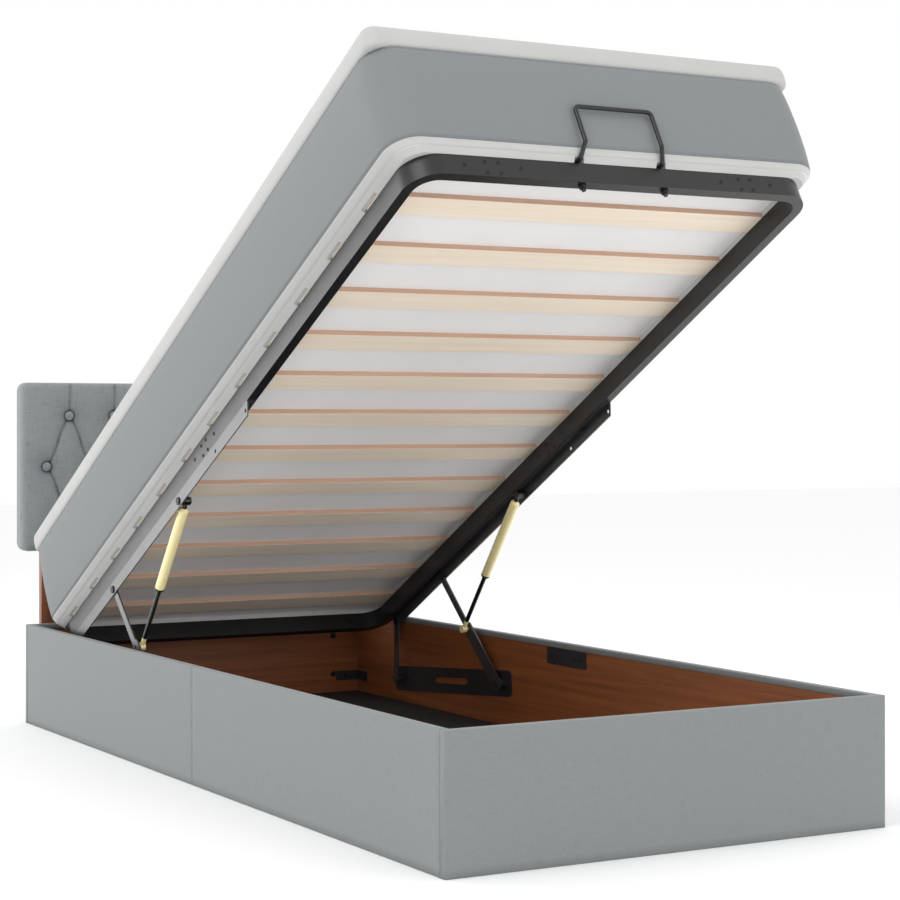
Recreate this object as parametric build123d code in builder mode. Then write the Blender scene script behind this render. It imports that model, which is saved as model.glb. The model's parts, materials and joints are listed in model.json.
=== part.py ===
from build123d import *
from math import atan2, cos, degrees, hypot, radians, sin
import os

os.makedirs("parts", exist_ok=True)

# An ottoman storage bed, shown with its mattress platform lifted.
# Millimetres. +X is to the right seen from the foot, +Y runs to the head, +Z is up.
# Driving sizes of the whole bed
mattress_length = 1975.5
mattress_width = 898
box_height = 235.5
side_margin = 1
foot_gap = 1.5
head_gap = 35

# Storage box: boards in fabric sleeves
board = 15
cover = 1.5
cover_round = 1.2
fold = 12
seam_gap = 0.6
panel = board + 2 * cover
box_width = mattress_width + 2 * side_margin
box_length = mattress_length + foot_gap + head_gap + 2 * panel
half_box = box_width / 2
inner_x = half_box - panel
board_x = inner_x + cover
board_height = box_height - cover
batten = 20
floor_board = 5
floor_gap = 0.5
batten_rows = 5

# Headboard: padded front over a board, on two legs behind the head panel
headboard_overhang = 11
headboard_width = box_width + 2 * headboard_overhang
headboard_height = 405
headboard_bottom = 410
headboard_corner = 20
headboard_front = 10
headboard_rim = 14
headboard_round = 9
leg = 18
leg_width = 90
leg_inset = 85
leg_spread = box_width - 2 * leg_inset
leg_overlap = 250
core = 18
pocket_gap = 0.3
buttons_across = 7
button_rows = 3
button_side_margin = 63
button_end_margin = 79.7
button_pitch = (headboard_width - 2 * button_side_margin) / buttons_across
button_rise = (headboard_height - 2 * button_end_margin) / (button_rows - 1)
button = 11
button_height = 5
button_edge = 2.2
button_depth = 8
dimple = 18
pleat_width = 34
pleat_depth = 7
pleat_lip_depth_share = 0.3
pleat_lip_width_share = 0.35
total_length = box_length + leg + core

# Lifting platform: a ring of oval-cornered square tube with slats on top
tube = 20
tube_height = 40
tube_wall = 1.5
frame_side_gap = 31
frame_width = mattress_width - 2 * frame_side_gap
frame_corner = 60
frame_overhang = 15
crossbar_seam = 265
rail_seam = 1010.5
sleeve_length = 130
sleeve_gap = 0.2
seam_step = 13
seam_reach = 55
seam_high = 11
seam_low = 33
slat_count = 12
slat_width = 55
slat = 10.6
slat_corner = 6
slat_end_gap = 8
first_slat = 143.5
last_slat_gap = 92.2

# Mattress: band, border and topper
mattress_thickness = 198.2
mattress_corner = 58
band = 13
band_round = 14
band_shares = ((0, 1), (0.12, 0.52), (0.5, 0.14))
border_swell = 1.5
border_swell_reach = 12
topper = 48
topper_corner = 58
topper_round = 12
topper_crown = 3
topper_foot_shares = ((0, 0.4), (0.15, 0.1), (0.4, 0))
topper_edge_shares = ((1, 0.1), (0.4, 0.4), (0, 1))
topper_crown_shares = ((0.4, 3), (0, 8))

# Lift handle: one bent bar bolted through the foot crossbar
handle_bar = 8
handle_spread = 172
handle_top_spread = 160
handle_step = 19
handle_shelf = 5
handle_bend_rise = 22
handle_height = 101
handle_thread = 11
handle_radius = 9
handle_inner_radius = 4.8
nut_across = 13
nut_height = 6

# Lift mechanism: pivots, arms, links and struts
lift_angle = 28.81
arm_length = 346.35
arm_open_angle = 41.77
arm_closed_angle = 9.01
front_pivot_from_head = 758.1
front_pivot_drop = 114.75
strut_point_from_tip = 172.6
rear_link_offset = 130
pivot_below_tube = 14
link_pivot_pitch = 258
strut_pivot_pitch = 429.5
rail_sheet = 2.5
rail_leg = 26
rail_flange = 18
rail_length = 1100
rail_head_gap = 75
rail_end_margin = 15
rail_cut = 12
rail_hole = 4
rail_hole_pitch = 165
rail_bolt_shares = (0.13, 0.4, 0.9)
link_sheet = 3.6
link_gap = 0.4
arm_tip_radius = 9
arm_heel_radius = 16
link_radius = 10
pin = 5
pin_head = 9
pin_head_height = 3.5
pin_gap = 0.05
rivet = 8
rivet_height = 2.5
plate = 3
plate_margin = 34
plate_half_width = 30
plate_corner = 15
plate_slot_length = 160
plate_slot_width = 15
plate_screw_row = 18
plate_screw_shares = (0.12, 0.5, 0.88)
boss = 11
strut_inset = 50
barrel = 10.5
barrel_length = 243
barrel_neck = 22
barrel_wall = 2.5
gland_length = 12
barrel_floor = 30
rod = 5
strut_eye = 9
strut_eye_width = 11
strut_pin = 4
piston_length = 10
rod_overlap = 62

# Screws, bolts and brackets
screw = 2.5
screw_head = 4.5
screw_head_height = 2
screw_depth = 10
bolt = 2
bolt_head = 4
bolt_head_height = 1.4
bolt_gap = 0.05
bracket = 60
bracket_height = 24
bracket_sheet = 3
bracket_screw = 36
bracket_low_share = 0.28
bracket_high_share = 0.87
joint_plate_length = 155
joint_plate_height = 36
joint_plate_corner = 4
joint_plate_drop = 31
joint_screw_reach = 57.35
joint_hole_reach = 34.9
headboard_bolt = 4
headboard_bolt_head = 8
headboard_bolt_height = 4
headboard_bolt_shares = (0.3, 0.72)

SIDES = ((-1, "left"), (1, "right"))
foot_y = -total_length / 2
head_y = foot_y + box_length
seam_y = foot_y + box_length / 2
cut = 2 * panel

# Where the mechanism stands with the platform lifted.
# A side view point is a (y, z) pair, and an angle is measured from +Y towards +Z.
tilt = radians(lift_angle)
pivot_n = -tube_height - pivot_below_tube
frame_head = mattress_length - frame_overhang
rail_head_v = frame_head - rail_head_gap
rear_pivot_v = rail_head_v - rail_end_margin
front_pivot_v = rear_pivot_v - link_pivot_pitch
strut_pivot_v = front_pivot_v - strut_pivot_pitch


def along(point, angle, distance):
    return (point[0] + distance * cos(radians(angle)), point[1] + distance * sin(radians(angle)))


pivot_D = (head_y - front_pivot_from_head, box_height - front_pivot_drop)
pivot_B = along(pivot_D, arm_open_angle, arm_length)
pivot_A = along(pivot_D, arm_open_angle, arm_length - strut_point_from_tip)
pivot_C = along(pivot_B, -lift_angle, link_pivot_pitch)
pivot_Q = along(pivot_B, -lift_angle, -strut_pivot_pitch)
closed_B = along(pivot_D, arm_closed_angle, arm_length)
closed_C = along(closed_B, 0, link_pivot_pitch)

# The rear link's lower pivot is as far from the open as from the closed rail pivot.
rear_middle = ((pivot_C[0] + closed_C[0]) / 2, (pivot_C[1] + closed_C[1]) / 2)
rear_angle = degrees(atan2(closed_C[1] - pivot_C[1], closed_C[0] - pivot_C[0])) - 90
pivot_E = along(rear_middle, rear_angle, rear_link_offset)

# The deck plane lies on the tubes' top faces, with its origin at the mattress's foot end.
deck_y, deck_z = along(along(pivot_B, 90 - lift_angle, -pivot_n), -lift_angle, -front_pivot_v)
deck = Plane(origin=(0, deck_y, deck_z), x_dir=(1, 0, 0), z_dir=(0, sin(tilt), cos(tilt)))

# Layers of the mechanism across each side, as distances from the middle
tube_outer_x = frame_width / 2
rail_inner_x = tube_outer_x - rail_sheet
link_outer_x = rail_inner_x - link_gap
link_inner_x = link_outer_x - link_sheet
pin_end_x = link_inner_x - link_gap
plate_inner_x = board_x - plate
strut_x = half_box - strut_inset


def deck_side(x):
    """The upright plane along the platform, drawn in (distance from foot, height) points."""
    return Plane(origin=(x, deck_y, deck_z), x_dir=(0, cos(tilt), -sin(tilt)), z_dir=(1, 0, 0))


def facing(x, y, z, normal):
    return Plane(origin=(x, y, z), z_dir=normal)


def on_deck(x, v, n, x_dir, z_dir):
    """A plane at a point of the platform, with its directions given in the deck's own axes."""
    origin = deck.from_local_coords(Vector(x, v, n))
    turned_x = deck.from_local_coords(Vector(*x_dir)) - deck.origin
    turned_z = deck.from_local_coords(Vector(*z_dir)) - deck.origin
    return Plane(origin=origin, x_dir=turned_x, z_dir=turned_z)


def save(piece, name):
    piece.part.label = name
    export_step(piece.part, f"parts/{name}.step")


def screws(places, shank, shank_length, head, head_height):
    """Pan-head screws, each on a plane that faces out of the surface it is driven into."""
    with BuildPart() as group:
        with Locations(*places):
            Cylinder(shank, shank_length, align=(Align.CENTER, Align.CENTER, Align.MAX))
            Cylinder(head, head_height, align=(Align.CENTER, Align.CENTER, Align.MIN))
    return group


# Places of the screws on the panels' inner faces
joint_z = box_height - joint_plate_drop
joint_screw_ys = [seam_y - joint_screw_reach, seam_y + joint_screw_reach]
bracket_zs = [share * box_height for share in (bracket_low_share, bracket_high_share)]
plate_angle = degrees(atan2(pivot_E[1] - pivot_D[1], pivot_E[0] - pivot_D[0]))
plate_span = hypot(pivot_E[0] - pivot_D[0], pivot_E[1] - pivot_D[1])
plate_screw_points = [
    along(along(pivot_D, plate_angle, plate_span * share), plate_angle + turn, plate_screw_row)
    for share in plate_screw_shares
    for turn in (-90, 90)
]


def side_screws(side):
    face = side * plate_inner_x
    normal = (-side, 0, 0)
    joint = [facing(face, y, joint_z, normal) for y in joint_screw_ys]
    hinge = [facing(face, y, z, normal) for y, z in plate_screw_points]
    corner_ys = (foot_y + panel + bracket_screw, head_y - panel - bracket_screw)
    corner_face = side * (board_x - bracket_sheet)
    corner = [facing(corner_face, y, z, normal) for y in corner_ys for z in bracket_zs]
    return joint + hinge + corner


def end_screws(end_face_y, inward):
    face = end_face_y + inward * bracket_sheet
    xs = [side * (board_x - bracket_screw) for side, hand in SIDES]
    return [facing(x, face, z, (0, inward, 0)) for x in xs for z in bracket_zs]


foot_board_y = foot_y + cover + board
head_board_y = head_y - cover - board
panel_screw_places = (
    side_screws(-1) + side_screws(1) + end_screws(foot_board_y, 1) + end_screws(head_board_y, -1)
)
headboard_bolt_zs = [box_height * share for share in headboard_bolt_shares]
headboard_bolt_places = [
    facing(side * leg_spread / 2, head_board_y, z, (0, -1, 0))
    for side, hand in SIDES
    for z in headboard_bolt_zs
]


# The storage box
def side_board(side, start, end, name):
    with BuildPart() as piece:
        with BuildSketch(Plane.XY):
            with Locations((side * (board_x + board / 2), (start + end) / 2)):
                Rectangle(board, end - start)
        extrude(amount=board_height)
        with Locations(*side_screws(side)):
            Cylinder(screw + pin_gap, 2 * screw_depth, mode=Mode.SUBTRACT)
    save(piece, name)


def side_cover(side, start, end, name):
    """A fabric sleeve over one half board: outer face, top edge and the fold inside."""
    with BuildPart() as piece:
        with BuildSketch(Plane.XZ.offset(-start)):
            with Locations((side * (half_box - panel / 2), box_height / 2)):
                Rectangle(panel, box_height)
            with Locations((side * (board_x + board / 2), board_height / 2)):
                Rectangle(board, board_height, mode=Mode.SUBTRACT)
            with Locations((side * (inner_x + cover / 2), (box_height - fold) / 2)):
                Rectangle(cover, box_height - fold, mode=Mode.SUBTRACT)
        extrude(amount=start - end)
        top_edges = piece.edges().filter_by(Axis.Y).group_by(Axis.Z)[-1]
        fillet(top_edges, radius=cover_round)
    save(piece, name)


def end_board(middle_y, holes, name):
    with BuildPart() as piece:
        with BuildSketch(Plane.XY):
            with Locations((0, middle_y)):
                Rectangle(box_width - 2 * cover, board)
        extrude(amount=board_height)
        with Locations(*holes):
            Cylinder(screw + pin_gap, 2 * screw_depth, mode=Mode.SUBTRACT)
        if middle_y > 0:
            with Locations(*headboard_bolt_places):
                Cylinder(headboard_bolt + pin_gap, cut, mode=Mode.SUBTRACT)
    save(piece, name)


def end_cover(middle_y, outward, name):
    """The fabric round the whole foot or head board, open low down on the inside."""
    with BuildPart() as piece:
        with BuildSketch(Plane.XY):
            with Locations((0, middle_y)):
                Rectangle(box_width, panel)
        extrude(amount=box_height)
        corner_edges = piece.edges().filter_by(Axis.Z)
        fillet(corner_edges, radius=cover_round)
        with BuildSketch(Plane.XY):
            with Locations((0, middle_y)):
                Rectangle(box_width - 2 * cover, board)
        extrude(amount=board_height, mode=Mode.SUBTRACT)
        with BuildSketch(Plane.XY):
            with Locations((0, middle_y - outward * (panel - cover) / 2)):
                Rectangle(2 * board_x, cover)
        extrude(amount=box_height - fold, mode=Mode.SUBTRACT)
        if outward > 0:
            with Locations(*headboard_bolt_places):
                Cylinder(headboard_bolt + pin_gap, 2 * cut, mode=Mode.SUBTRACT)
    save(piece, name)


foot_half = (foot_y + panel, seam_y - seam_gap / 2)
head_half = (seam_y + seam_gap / 2, head_y - panel)
for side, hand in SIDES:
    for (start, end), half in ((foot_half, "foot"), (head_half, "head")):
        side_board(side, start, end, f"{hand}_{half}_side_board")
        side_cover(side, start, end, f"{hand}_{half}_side_cover")
end_board(foot_y + panel / 2, end_screws(foot_board_y, 1), "foot_board")
end_board(head_y - panel / 2, end_screws(head_board_y, -1), "head_board")
end_cover(foot_y + panel / 2, -1, "foot_board_cover")
end_cover(head_y - panel / 2, 1, "head_board_cover")

# Two floor boards on battens
floor_width = 2 * board_x - 2 * floor_gap
with BuildPart() as storage_floor:
    for start, end in (foot_half, head_half):
        with BuildSketch(Plane.XY.offset(batten)):
            with Locations((0, (start + end) / 2)):
                Rectangle(floor_width, end - start - 2 * floor_gap)
        extrude(amount=floor_board)
save(storage_floor, "storage_floor")

batten_length = 2 * (board_x - batten - floor_gap)
batten_first = foot_y + panel + batten / 2
batten_last = head_y - panel - batten / 2
batten_step = (batten_last - batten_first) / (batten_rows - 1)
with BuildPart() as floor_battens:
    with BuildSketch(Plane.XY):
        with Locations((0, (batten_first + batten_last) / 2)):
            with GridLocations(2 * board_x - batten, 0, 2, 1):
                Rectangle(batten, batten_last - batten_first + batten)
            with GridLocations(0, batten_step, 1, batten_rows):
                Rectangle(batten_length, batten)
    extrude(amount=batten)
save(floor_battens, "floor_battens")

# Plates that join the two halves of each side, and corner brackets
with BuildPart() as joint_plates:
    for side, hand in SIDES:
        with BuildSketch(Plane.YZ.offset(side * plate_inner_x)):
            with Locations((seam_y, joint_z)):
                RectangleRounded(joint_plate_length, joint_plate_height, joint_plate_corner)
                with GridLocations(2 * joint_screw_reach, 0, 2, 1):
                    Circle(screw + pin_gap, mode=Mode.SUBTRACT)
                with GridLocations(2 * joint_hole_reach, 0, 2, 1):
                    Circle(screw, mode=Mode.SUBTRACT)
        extrude(amount=side * plate)
save(joint_plates, "joint_plates")

with BuildPart() as corner_brackets:
    for side, hand in SIDES:
        for corner_y, inward in ((foot_board_y, 1), (head_board_y, -1)):
            for z in bracket_zs:
                with BuildSketch(Plane.XY.offset(z - bracket_height / 2)):
                    with Locations((side * (board_x - bracket / 2), corner_y + inward * bracket_sheet / 2)):
                        Rectangle(bracket, bracket_sheet)
                    with Locations((side * (board_x - bracket_sheet / 2), corner_y + inward * bracket / 2)):
                        Rectangle(bracket_sheet, bracket)
                extrude(amount=bracket_height)
    with Locations(*panel_screw_places):
        Cylinder(screw + pin_gap, 2 * screw_depth, mode=Mode.SUBTRACT)
save(corner_brackets, "corner_brackets")

save(screws(panel_screw_places, screw, screw_depth, screw_head, screw_head_height), "panel_screws")


# The headboard: a tufted pad over a board, its buttons and its two legs
pad_front_y = head_y - headboard_front
core_y = head_y + leg
pad_back_y = core_y + core
pad_middle_z = headboard_bottom + headboard_height / 2
leg_top = headboard_bottom + leg_overlap


def button_row_xs(row):
    count = buttons_across + row % 2
    return [(place - (count - 1) / 2) * button_pitch for place in range(count)]


button_zs = [pad_middle_z + (1 - row) * button_rise for row in range(button_rows)]
button_points = [(x, z) for row, z in enumerate(button_zs) for x in button_row_xs(row)]
pleats = [
    ((x, z), (x + step, button_zs[1]))
    for z in (button_zs[0], button_zs[2])
    for x in button_row_xs(0)
    for step in (-button_pitch / 2, button_pitch / 2)
]
edge_pleats = [
    ((x, z), (x, z + way * headboard_height))
    for z, way in ((button_zs[0], 1), (button_zs[2], -1))
    for x in button_row_xs(0)
]


def pleat_tool(start, end):
    """A groove with rounded lips, cut into the pad's front along a line between two (x, z) points."""
    length = hypot(end[0] - start[0], end[1] - start[1])
    direction = (end[0] - start[0], 0, end[1] - start[1])
    plane = Plane(origin=(start[0], pad_front_y, start[1]), x_dir=(0, 1, 0), z_dir=direction)
    half = pleat_width / 2
    lip_depth = pleat_depth * pleat_lip_depth_share
    lip_half = half * pleat_lip_width_share
    with BuildPart() as tool:
        with BuildSketch(plane):
            with BuildLine():
                ThreePointArc((0, half), (lip_depth, lip_half), (pleat_depth, 0))
                ThreePointArc((pleat_depth, 0), (lip_depth, -lip_half), (0, -half))
                Line((0, -half), (-pleat_depth, -half))
                Line((-pleat_depth, -half), (-pleat_depth, half))
                Line((-pleat_depth, half), (0, half))
            make_face()
        extrude(amount=length)
    return tool.part


def leg_sketch(extra, top):
    with BuildSketch(Plane.XZ.offset(-head_y + extra)) as outline:
        for side, hand in SIDES:
            with Locations((side * leg_spread / 2, top / 2)):
                Rectangle(leg_width + 2 * extra, top)
    return outline.sketch


with BuildPart() as headboard:
    with BuildSketch(Plane.XZ.offset(-pad_front_y)):
        with Locations((0, pad_middle_z)):
            RectangleRounded(headboard_width, headboard_height, headboard_corner)
    extrude(amount=pad_front_y - pad_back_y)
    fillet(headboard.faces().sort_by(Axis.Y)[0].edges(), radius=headboard_round)
    with BuildSketch(Plane.XZ.offset(-core_y)):
        with Locations((0, pad_middle_z)):
            Rectangle(headboard_width - 2 * headboard_rim, headboard_height - 2 * headboard_rim)
    extrude(amount=-core, mode=Mode.SUBTRACT)
    extrude(leg_sketch(pocket_gap, leg_top + pocket_gap), amount=-leg - pocket_gap, mode=Mode.SUBTRACT)
    add([pleat_tool(start, end) for start, end in pleats + edge_pleats], mode=Mode.SUBTRACT)
    with Locations(*[facing(x, pad_front_y, z, (0, 1, 0)) for x, z in button_points]):
        Cone(
            dimple,
            button + pocket_gap,
            button_depth,
            align=(Align.CENTER, Align.CENTER, Align.MIN),
            mode=Mode.SUBTRACT,
        )
save(headboard, "headboard")

with BuildPart() as headboard_core:
    with BuildSketch(Plane.XZ.offset(-core_y)):
        with Locations((0, pad_middle_z)):
            Rectangle(headboard_width - 2 * headboard_rim, headboard_height - 2 * headboard_rim)
    extrude(amount=-core)
save(headboard_core, "headboard_core")

with BuildPart() as headboard_buttons:
    with Locations(*[facing(x, pad_front_y + button_depth, z, (0, -1, 0)) for x, z in button_points]):
        Cylinder(button, button_height, align=(Align.CENTER, Align.CENTER, Align.MIN))
    rims = headboard_buttons.faces().group_by(Axis.Y)[0].edges()
    chamfer(rims, length=button_edge)
save(headboard_buttons, "headboard_buttons")

for side, hand in SIDES:
    with BuildPart() as headboard_leg:
        with BuildSketch(Plane.XZ.offset(-head_y)):
            with Locations((side * leg_spread / 2, leg_top / 2)):
                Rectangle(leg_width, leg_top)
        extrude(amount=-leg)
        with Locations(*headboard_bolt_places):
            Cylinder(headboard_bolt + pin_gap, 2 * cut + 2 * leg, mode=Mode.SUBTRACT)
    save(headboard_leg, f"{hand}_headboard_leg")

headboard_bolt_length = board + cover + leg
with BuildPart() as headboard_bolts:
    with Locations(*headboard_bolt_places):
        Cylinder(headboard_bolt, headboard_bolt_length, align=(Align.CENTER, Align.CENTER, Align.MAX))
        Cylinder(
            headboard_bolt_head, headboard_bolt_height, align=(Align.CENTER, Align.CENTER, Align.MIN)
        )
save(headboard_bolts, "headboard_bolts")


# The ring of tube, cut at its seams into two crossbars and four corner rails
frame_length = frame_head - frame_overhang
frame_middle_v = frame_overhang + frame_length / 2


def ring(inset, wall):
    """The ring's outline in the deck plane, drawn in from its outer side by inset."""
    with BuildSketch(deck) as outline:
        with Locations((0, frame_middle_v)):
            RectangleRounded(frame_width - 2 * inset, frame_length - 2 * inset, frame_corner - inset)
            hole_inset = inset + wall
            RectangleRounded(
                frame_width - 2 * hole_inset,
                frame_length - 2 * hole_inset,
                frame_corner - hole_inset,
                mode=Mode.SUBTRACT,
            )
    return outline.sketch


def seam_bolts(v_or_x):
    """Six places about a seam, as (distance along the tube, height) pairs."""
    near = [(v_or_x + step, n) for step in (-seam_step, seam_step) for n in (-seam_high, -seam_low)]
    far = [(v_or_x + step, -tube_height / 2) for step in (-seam_reach, seam_reach)]
    return near + far


frame_bolt_places = []
for x, n in seam_bolts(-crossbar_seam) + seam_bolts(crossbar_seam):
    frame_bolt_places.append(on_deck(x, frame_overhang, n, (1, 0, 0), (0, -1, 0)))
    frame_bolt_places.append(on_deck(x, frame_head, n, (1, 0, 0), (0, 1, 0)))
for side, hand in SIDES:
    for v, n in seam_bolts(rail_seam):
        frame_bolt_places.append(on_deck(side * tube_outer_x, v, n, (0, 1, 0), (side, 0, 0)))

rail_bolt_vs = [rail_head_v - rail_length * share for share in rail_bolt_shares]
rail_bolt_x = rail_inner_x - (rail_flange - rail_sheet) / 2
rail_bolt_places = [
    on_deck(side * rail_bolt_x, v, -tube_height - rail_sheet, (1, 0, 0), (0, 0, -1))
    for side, hand in SIDES
    for v in rail_bolt_vs
]
handle_v = frame_overhang + tube / 2
handle_places = [
    on_deck(side * handle_spread / 2, handle_v, 0, (1, 0, 0), (0, 0, 1)) for side, hand in SIDES
]


def frame_piece(x_low, x_high, v_low, v_high, name):
    with BuildPart() as piece:
        with BuildSketch(deck.offset(-tube_height)):
            with Locations(((x_low + x_high) / 2, (v_low + v_high) / 2)):
                Rectangle(x_high - x_low, v_high - v_low)
        extrude(amount=tube_height)
        extrude(ring(0, tube), amount=-tube_height, mode=Mode.INTERSECT)
        hollow = ring(tube_wall, tube - 2 * tube_wall).moved(Location(deck.z_dir * -tube_wall))
        extrude(hollow, amount=2 * tube_wall - tube_height, mode=Mode.SUBTRACT)
        with Locations(*frame_bolt_places):
            Cylinder(bolt + bolt_gap, 2 * tube + 2 * bolt_head, mode=Mode.SUBTRACT)
        with Locations(*rail_bolt_places):
            Cylinder(screw + pin_gap, screw_depth, mode=Mode.SUBTRACT)
        with Locations(*handle_places):
            Cylinder(handle_bar / 2 + pin_gap, 2 * tube_height + tube, mode=Mode.SUBTRACT)
    save(piece, name)


foot_v = frame_overhang
frame_piece(-crossbar_seam, crossbar_seam, foot_v, rail_seam / 2, "foot_crossbar")
frame_piece(-crossbar_seam, crossbar_seam, rail_seam, frame_head, "head_crossbar")
for side, hand in SIDES:
    low, high = sorted((side * crossbar_seam, side * tube_outer_x))
    frame_piece(low, high, foot_v, rail_seam, f"{hand}_foot_rail")
    frame_piece(low, high, rail_seam, frame_head, f"{hand}_head_rail")

sleeve = tube - 2 * tube_wall - 2 * sleeve_gap
sleeve_height = tube_height - 2 * tube_wall - 2 * sleeve_gap
with BuildPart() as frame_sleeves:
    with BuildSketch(deck.offset(-tube_height / 2 - sleeve_height / 2)):
        for v in (frame_overhang + tube / 2, frame_head - tube / 2):
            for side, hand in SIDES:
                with Locations((side * crossbar_seam, v)):
                    Rectangle(sleeve_length, sleeve)
        for side, hand in SIDES:
            with Locations((side * (tube_outer_x - tube / 2), rail_seam)):
                Rectangle(sleeve, sleeve_length)
    extrude(amount=sleeve_height)
    with Locations(*frame_bolt_places):
        Cylinder(bolt + bolt_gap, 2 * tube_height, mode=Mode.SUBTRACT)
save(frame_sleeves, "frame_sleeves")

# Slats, laid across the ring at an even pitch
slat_pitch = (mattress_length - first_slat - last_slat_gap - slat_width) / (slat_count - 1)
for number in range(slat_count):
    with BuildPart() as slat_piece:
        with BuildSketch(deck):
            with Locations((0, first_slat + number * slat_pitch + slat_width / 2)):
                RectangleRounded(frame_width - 2 * slat_end_gap, slat_width, slat_corner)
        extrude(amount=slat)
    save(slat_piece, f"slat_{number + 1:02d}")

# The mattress, its border gently swollen between seams, and the topper
mattress_middle_v = mattress_length / 2


def cushion(levels, corner, name):
    """A closed soft form through rounded outlines at (height, inset) levels."""
    with BuildPart() as piece:
        for n, inset in levels:
            with BuildSketch(deck.offset(n)):
                with Locations((0, mattress_middle_v)):
                    width = mattress_width - 2 * inset
                    RectangleRounded(width, mattress_length - 2 * inset, corner - inset / 2)
        loft(ruled=True)
    save(piece, name)


mattress_top = slat + mattress_thickness
seam_n = slat + band
band_levels = [(slat + band_round * up, band_round * inward) for up, inward in band_shares]
border_levels = [
    (seam_n, border_swell),
    (seam_n + border_swell_reach, 0),
    (mattress_top - border_swell_reach, 0),
    (mattress_top, border_swell),
]
cushion(band_levels + border_levels, mattress_corner, "mattress")

topper_n = mattress_top + pocket_gap
topper_top = topper_n + topper
topper_edge = topper_top - topper_crown
foot_levels = [(topper_n + topper * up, topper_round * inward) for up, inward in topper_foot_shares]
edge_levels = [
    (topper_edge - topper_round * down, topper_round * inward) for down, inward in topper_edge_shares
]
crown_levels = [
    (topper_top - topper_crown * down, topper_round * inward) for down, inward in topper_crown_shares
]
cushion(foot_levels + edge_levels + crown_levels, topper_corner, "mattress_topper")

# The lift handle, its threaded ends through the crossbar, and its nuts
handle_out_v = frame_overhang + tube / 2 - handle_step
handle_top_v = handle_out_v - handle_step


def handle_points(side):
    low_x = side * handle_spread / 2
    top_x = side * handle_top_spread / 2
    return [
        (low_x, handle_v, -tube_height - handle_thread),
        (low_x, handle_v, handle_shelf),
        (low_x, handle_out_v, handle_shelf),
        (top_x, handle_top_v, handle_shelf + handle_bend_rise),
        (top_x, handle_top_v, handle_height),
    ]


handle_route = [
    deck.from_local_coords(Vector(*point)) for point in handle_points(-1) + handle_points(1)[::-1]
]
handle_bends = [handle_inner_radius] * 3 + [handle_radius] * 2 + [handle_inner_radius] * 3
with BuildPart() as lift_handle:
    with BuildLine() as handle_path:
        FilletPolyline(*handle_route, radius=handle_bends)
    with BuildSketch(Plane(origin=handle_path.line @ 0, z_dir=handle_path.line % 0)):
        Circle(handle_bar / 2)
    sweep()
save(lift_handle, "lift_handle")

# Fasteners of the ring: seam bolts, rail screws and the handle's nuts
with BuildPart() as frame_fasteners:
    with Locations(*frame_bolt_places):
        Cylinder(bolt, tube, align=(Align.CENTER, Align.CENTER, Align.MAX))
        Cylinder(bolt_head, bolt_head_height, align=(Align.CENTER, Align.CENTER, Align.MIN))
    with Locations(*[place.offset(-tube) for place in frame_bolt_places]):
        Cylinder(bolt_head, bolt_head_height, align=(Align.CENTER, Align.CENTER, Align.MAX))
    with Locations(*rail_bolt_places):
        Cylinder(screw, 2 * rail_sheet, align=(Align.CENTER, Align.CENTER, Align.MAX))
        Cylinder(screw_head, screw_head_height, align=(Align.CENTER, Align.CENTER, Align.MIN))
    for side, hand in SIDES:
        with BuildSketch(deck.offset(-tube_height)):
            with Locations((side * handle_spread / 2, handle_v)):
                RegularPolygon(nut_across / 2, 6, major_radius=False)
                Circle(handle_bar / 2 + pin_gap, mode=Mode.SUBTRACT)
        extrude(amount=-nut_height)
save(frame_fasteners, "frame_fasteners")

# The lift mechanism. Each side has an angle rail under the ring, a hinge plate on the side board,
# a front arm, a rear link and a gas strut.
rail_foot_v = rail_head_v - rail_length
rail_low_n = -tube_height - rail_leg
rail_hole_vs = (rail_foot_v + rail_end_margin, rail_foot_v + rail_end_margin + rail_hole_pitch)


def lift_rail(side, hand):
    with BuildPart() as rail:
        with BuildSketch(deck_side(side * rail_inner_x)):
            with BuildLine():
                Polyline(
                    (rail_foot_v, -tube_height),
                    (rail_foot_v, -tube_height - rail_sheet),
                    (rail_foot_v + rail_cut, rail_low_n),
                    (rail_head_v - rail_cut / 2, rail_low_n),
                    (rail_head_v, rail_low_n + rail_cut / 2),
                    (rail_head_v, -tube_height),
                    close=True,
                )
            make_face()
            with Locations(*[(v, pivot_n) for v in (front_pivot_v, rear_pivot_v, strut_pivot_v)]):
                Circle(pin + pin_gap, mode=Mode.SUBTRACT)
            with Locations(*[(v, pivot_n) for v in rail_hole_vs]):
                Circle(rail_hole, mode=Mode.SUBTRACT)
        extrude(amount=side * rail_sheet)
        with BuildSketch(deck.offset(-tube_height)):
            with Locations((side * (tube_outer_x - rail_flange / 2), (rail_foot_v + rail_head_v) / 2)):
                Rectangle(rail_flange, rail_length)
        extrude(amount=-rail_sheet)
        with Locations(*rail_bolt_places):
            Cylinder(screw + pin_gap, screw_depth, mode=Mode.SUBTRACT)
    save(rail, f"{hand}_lift_rail")


def flat_bar(x, start, end, start_radius, end_radius):
    """The outline of a flat bar with round ends, between two side view points."""
    with BuildSketch(Plane.YZ.offset(x)) as outline:
        with Locations(start):
            Circle(start_radius)
        with Locations(end):
            Circle(end_radius)
        make_hull()
    return outline.sketch


def pivot_holes(x, points, radius):
    with BuildSketch(Plane.YZ.offset(x)) as holes:
        with Locations(*points):
            Circle(radius)
    return holes.sketch


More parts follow.
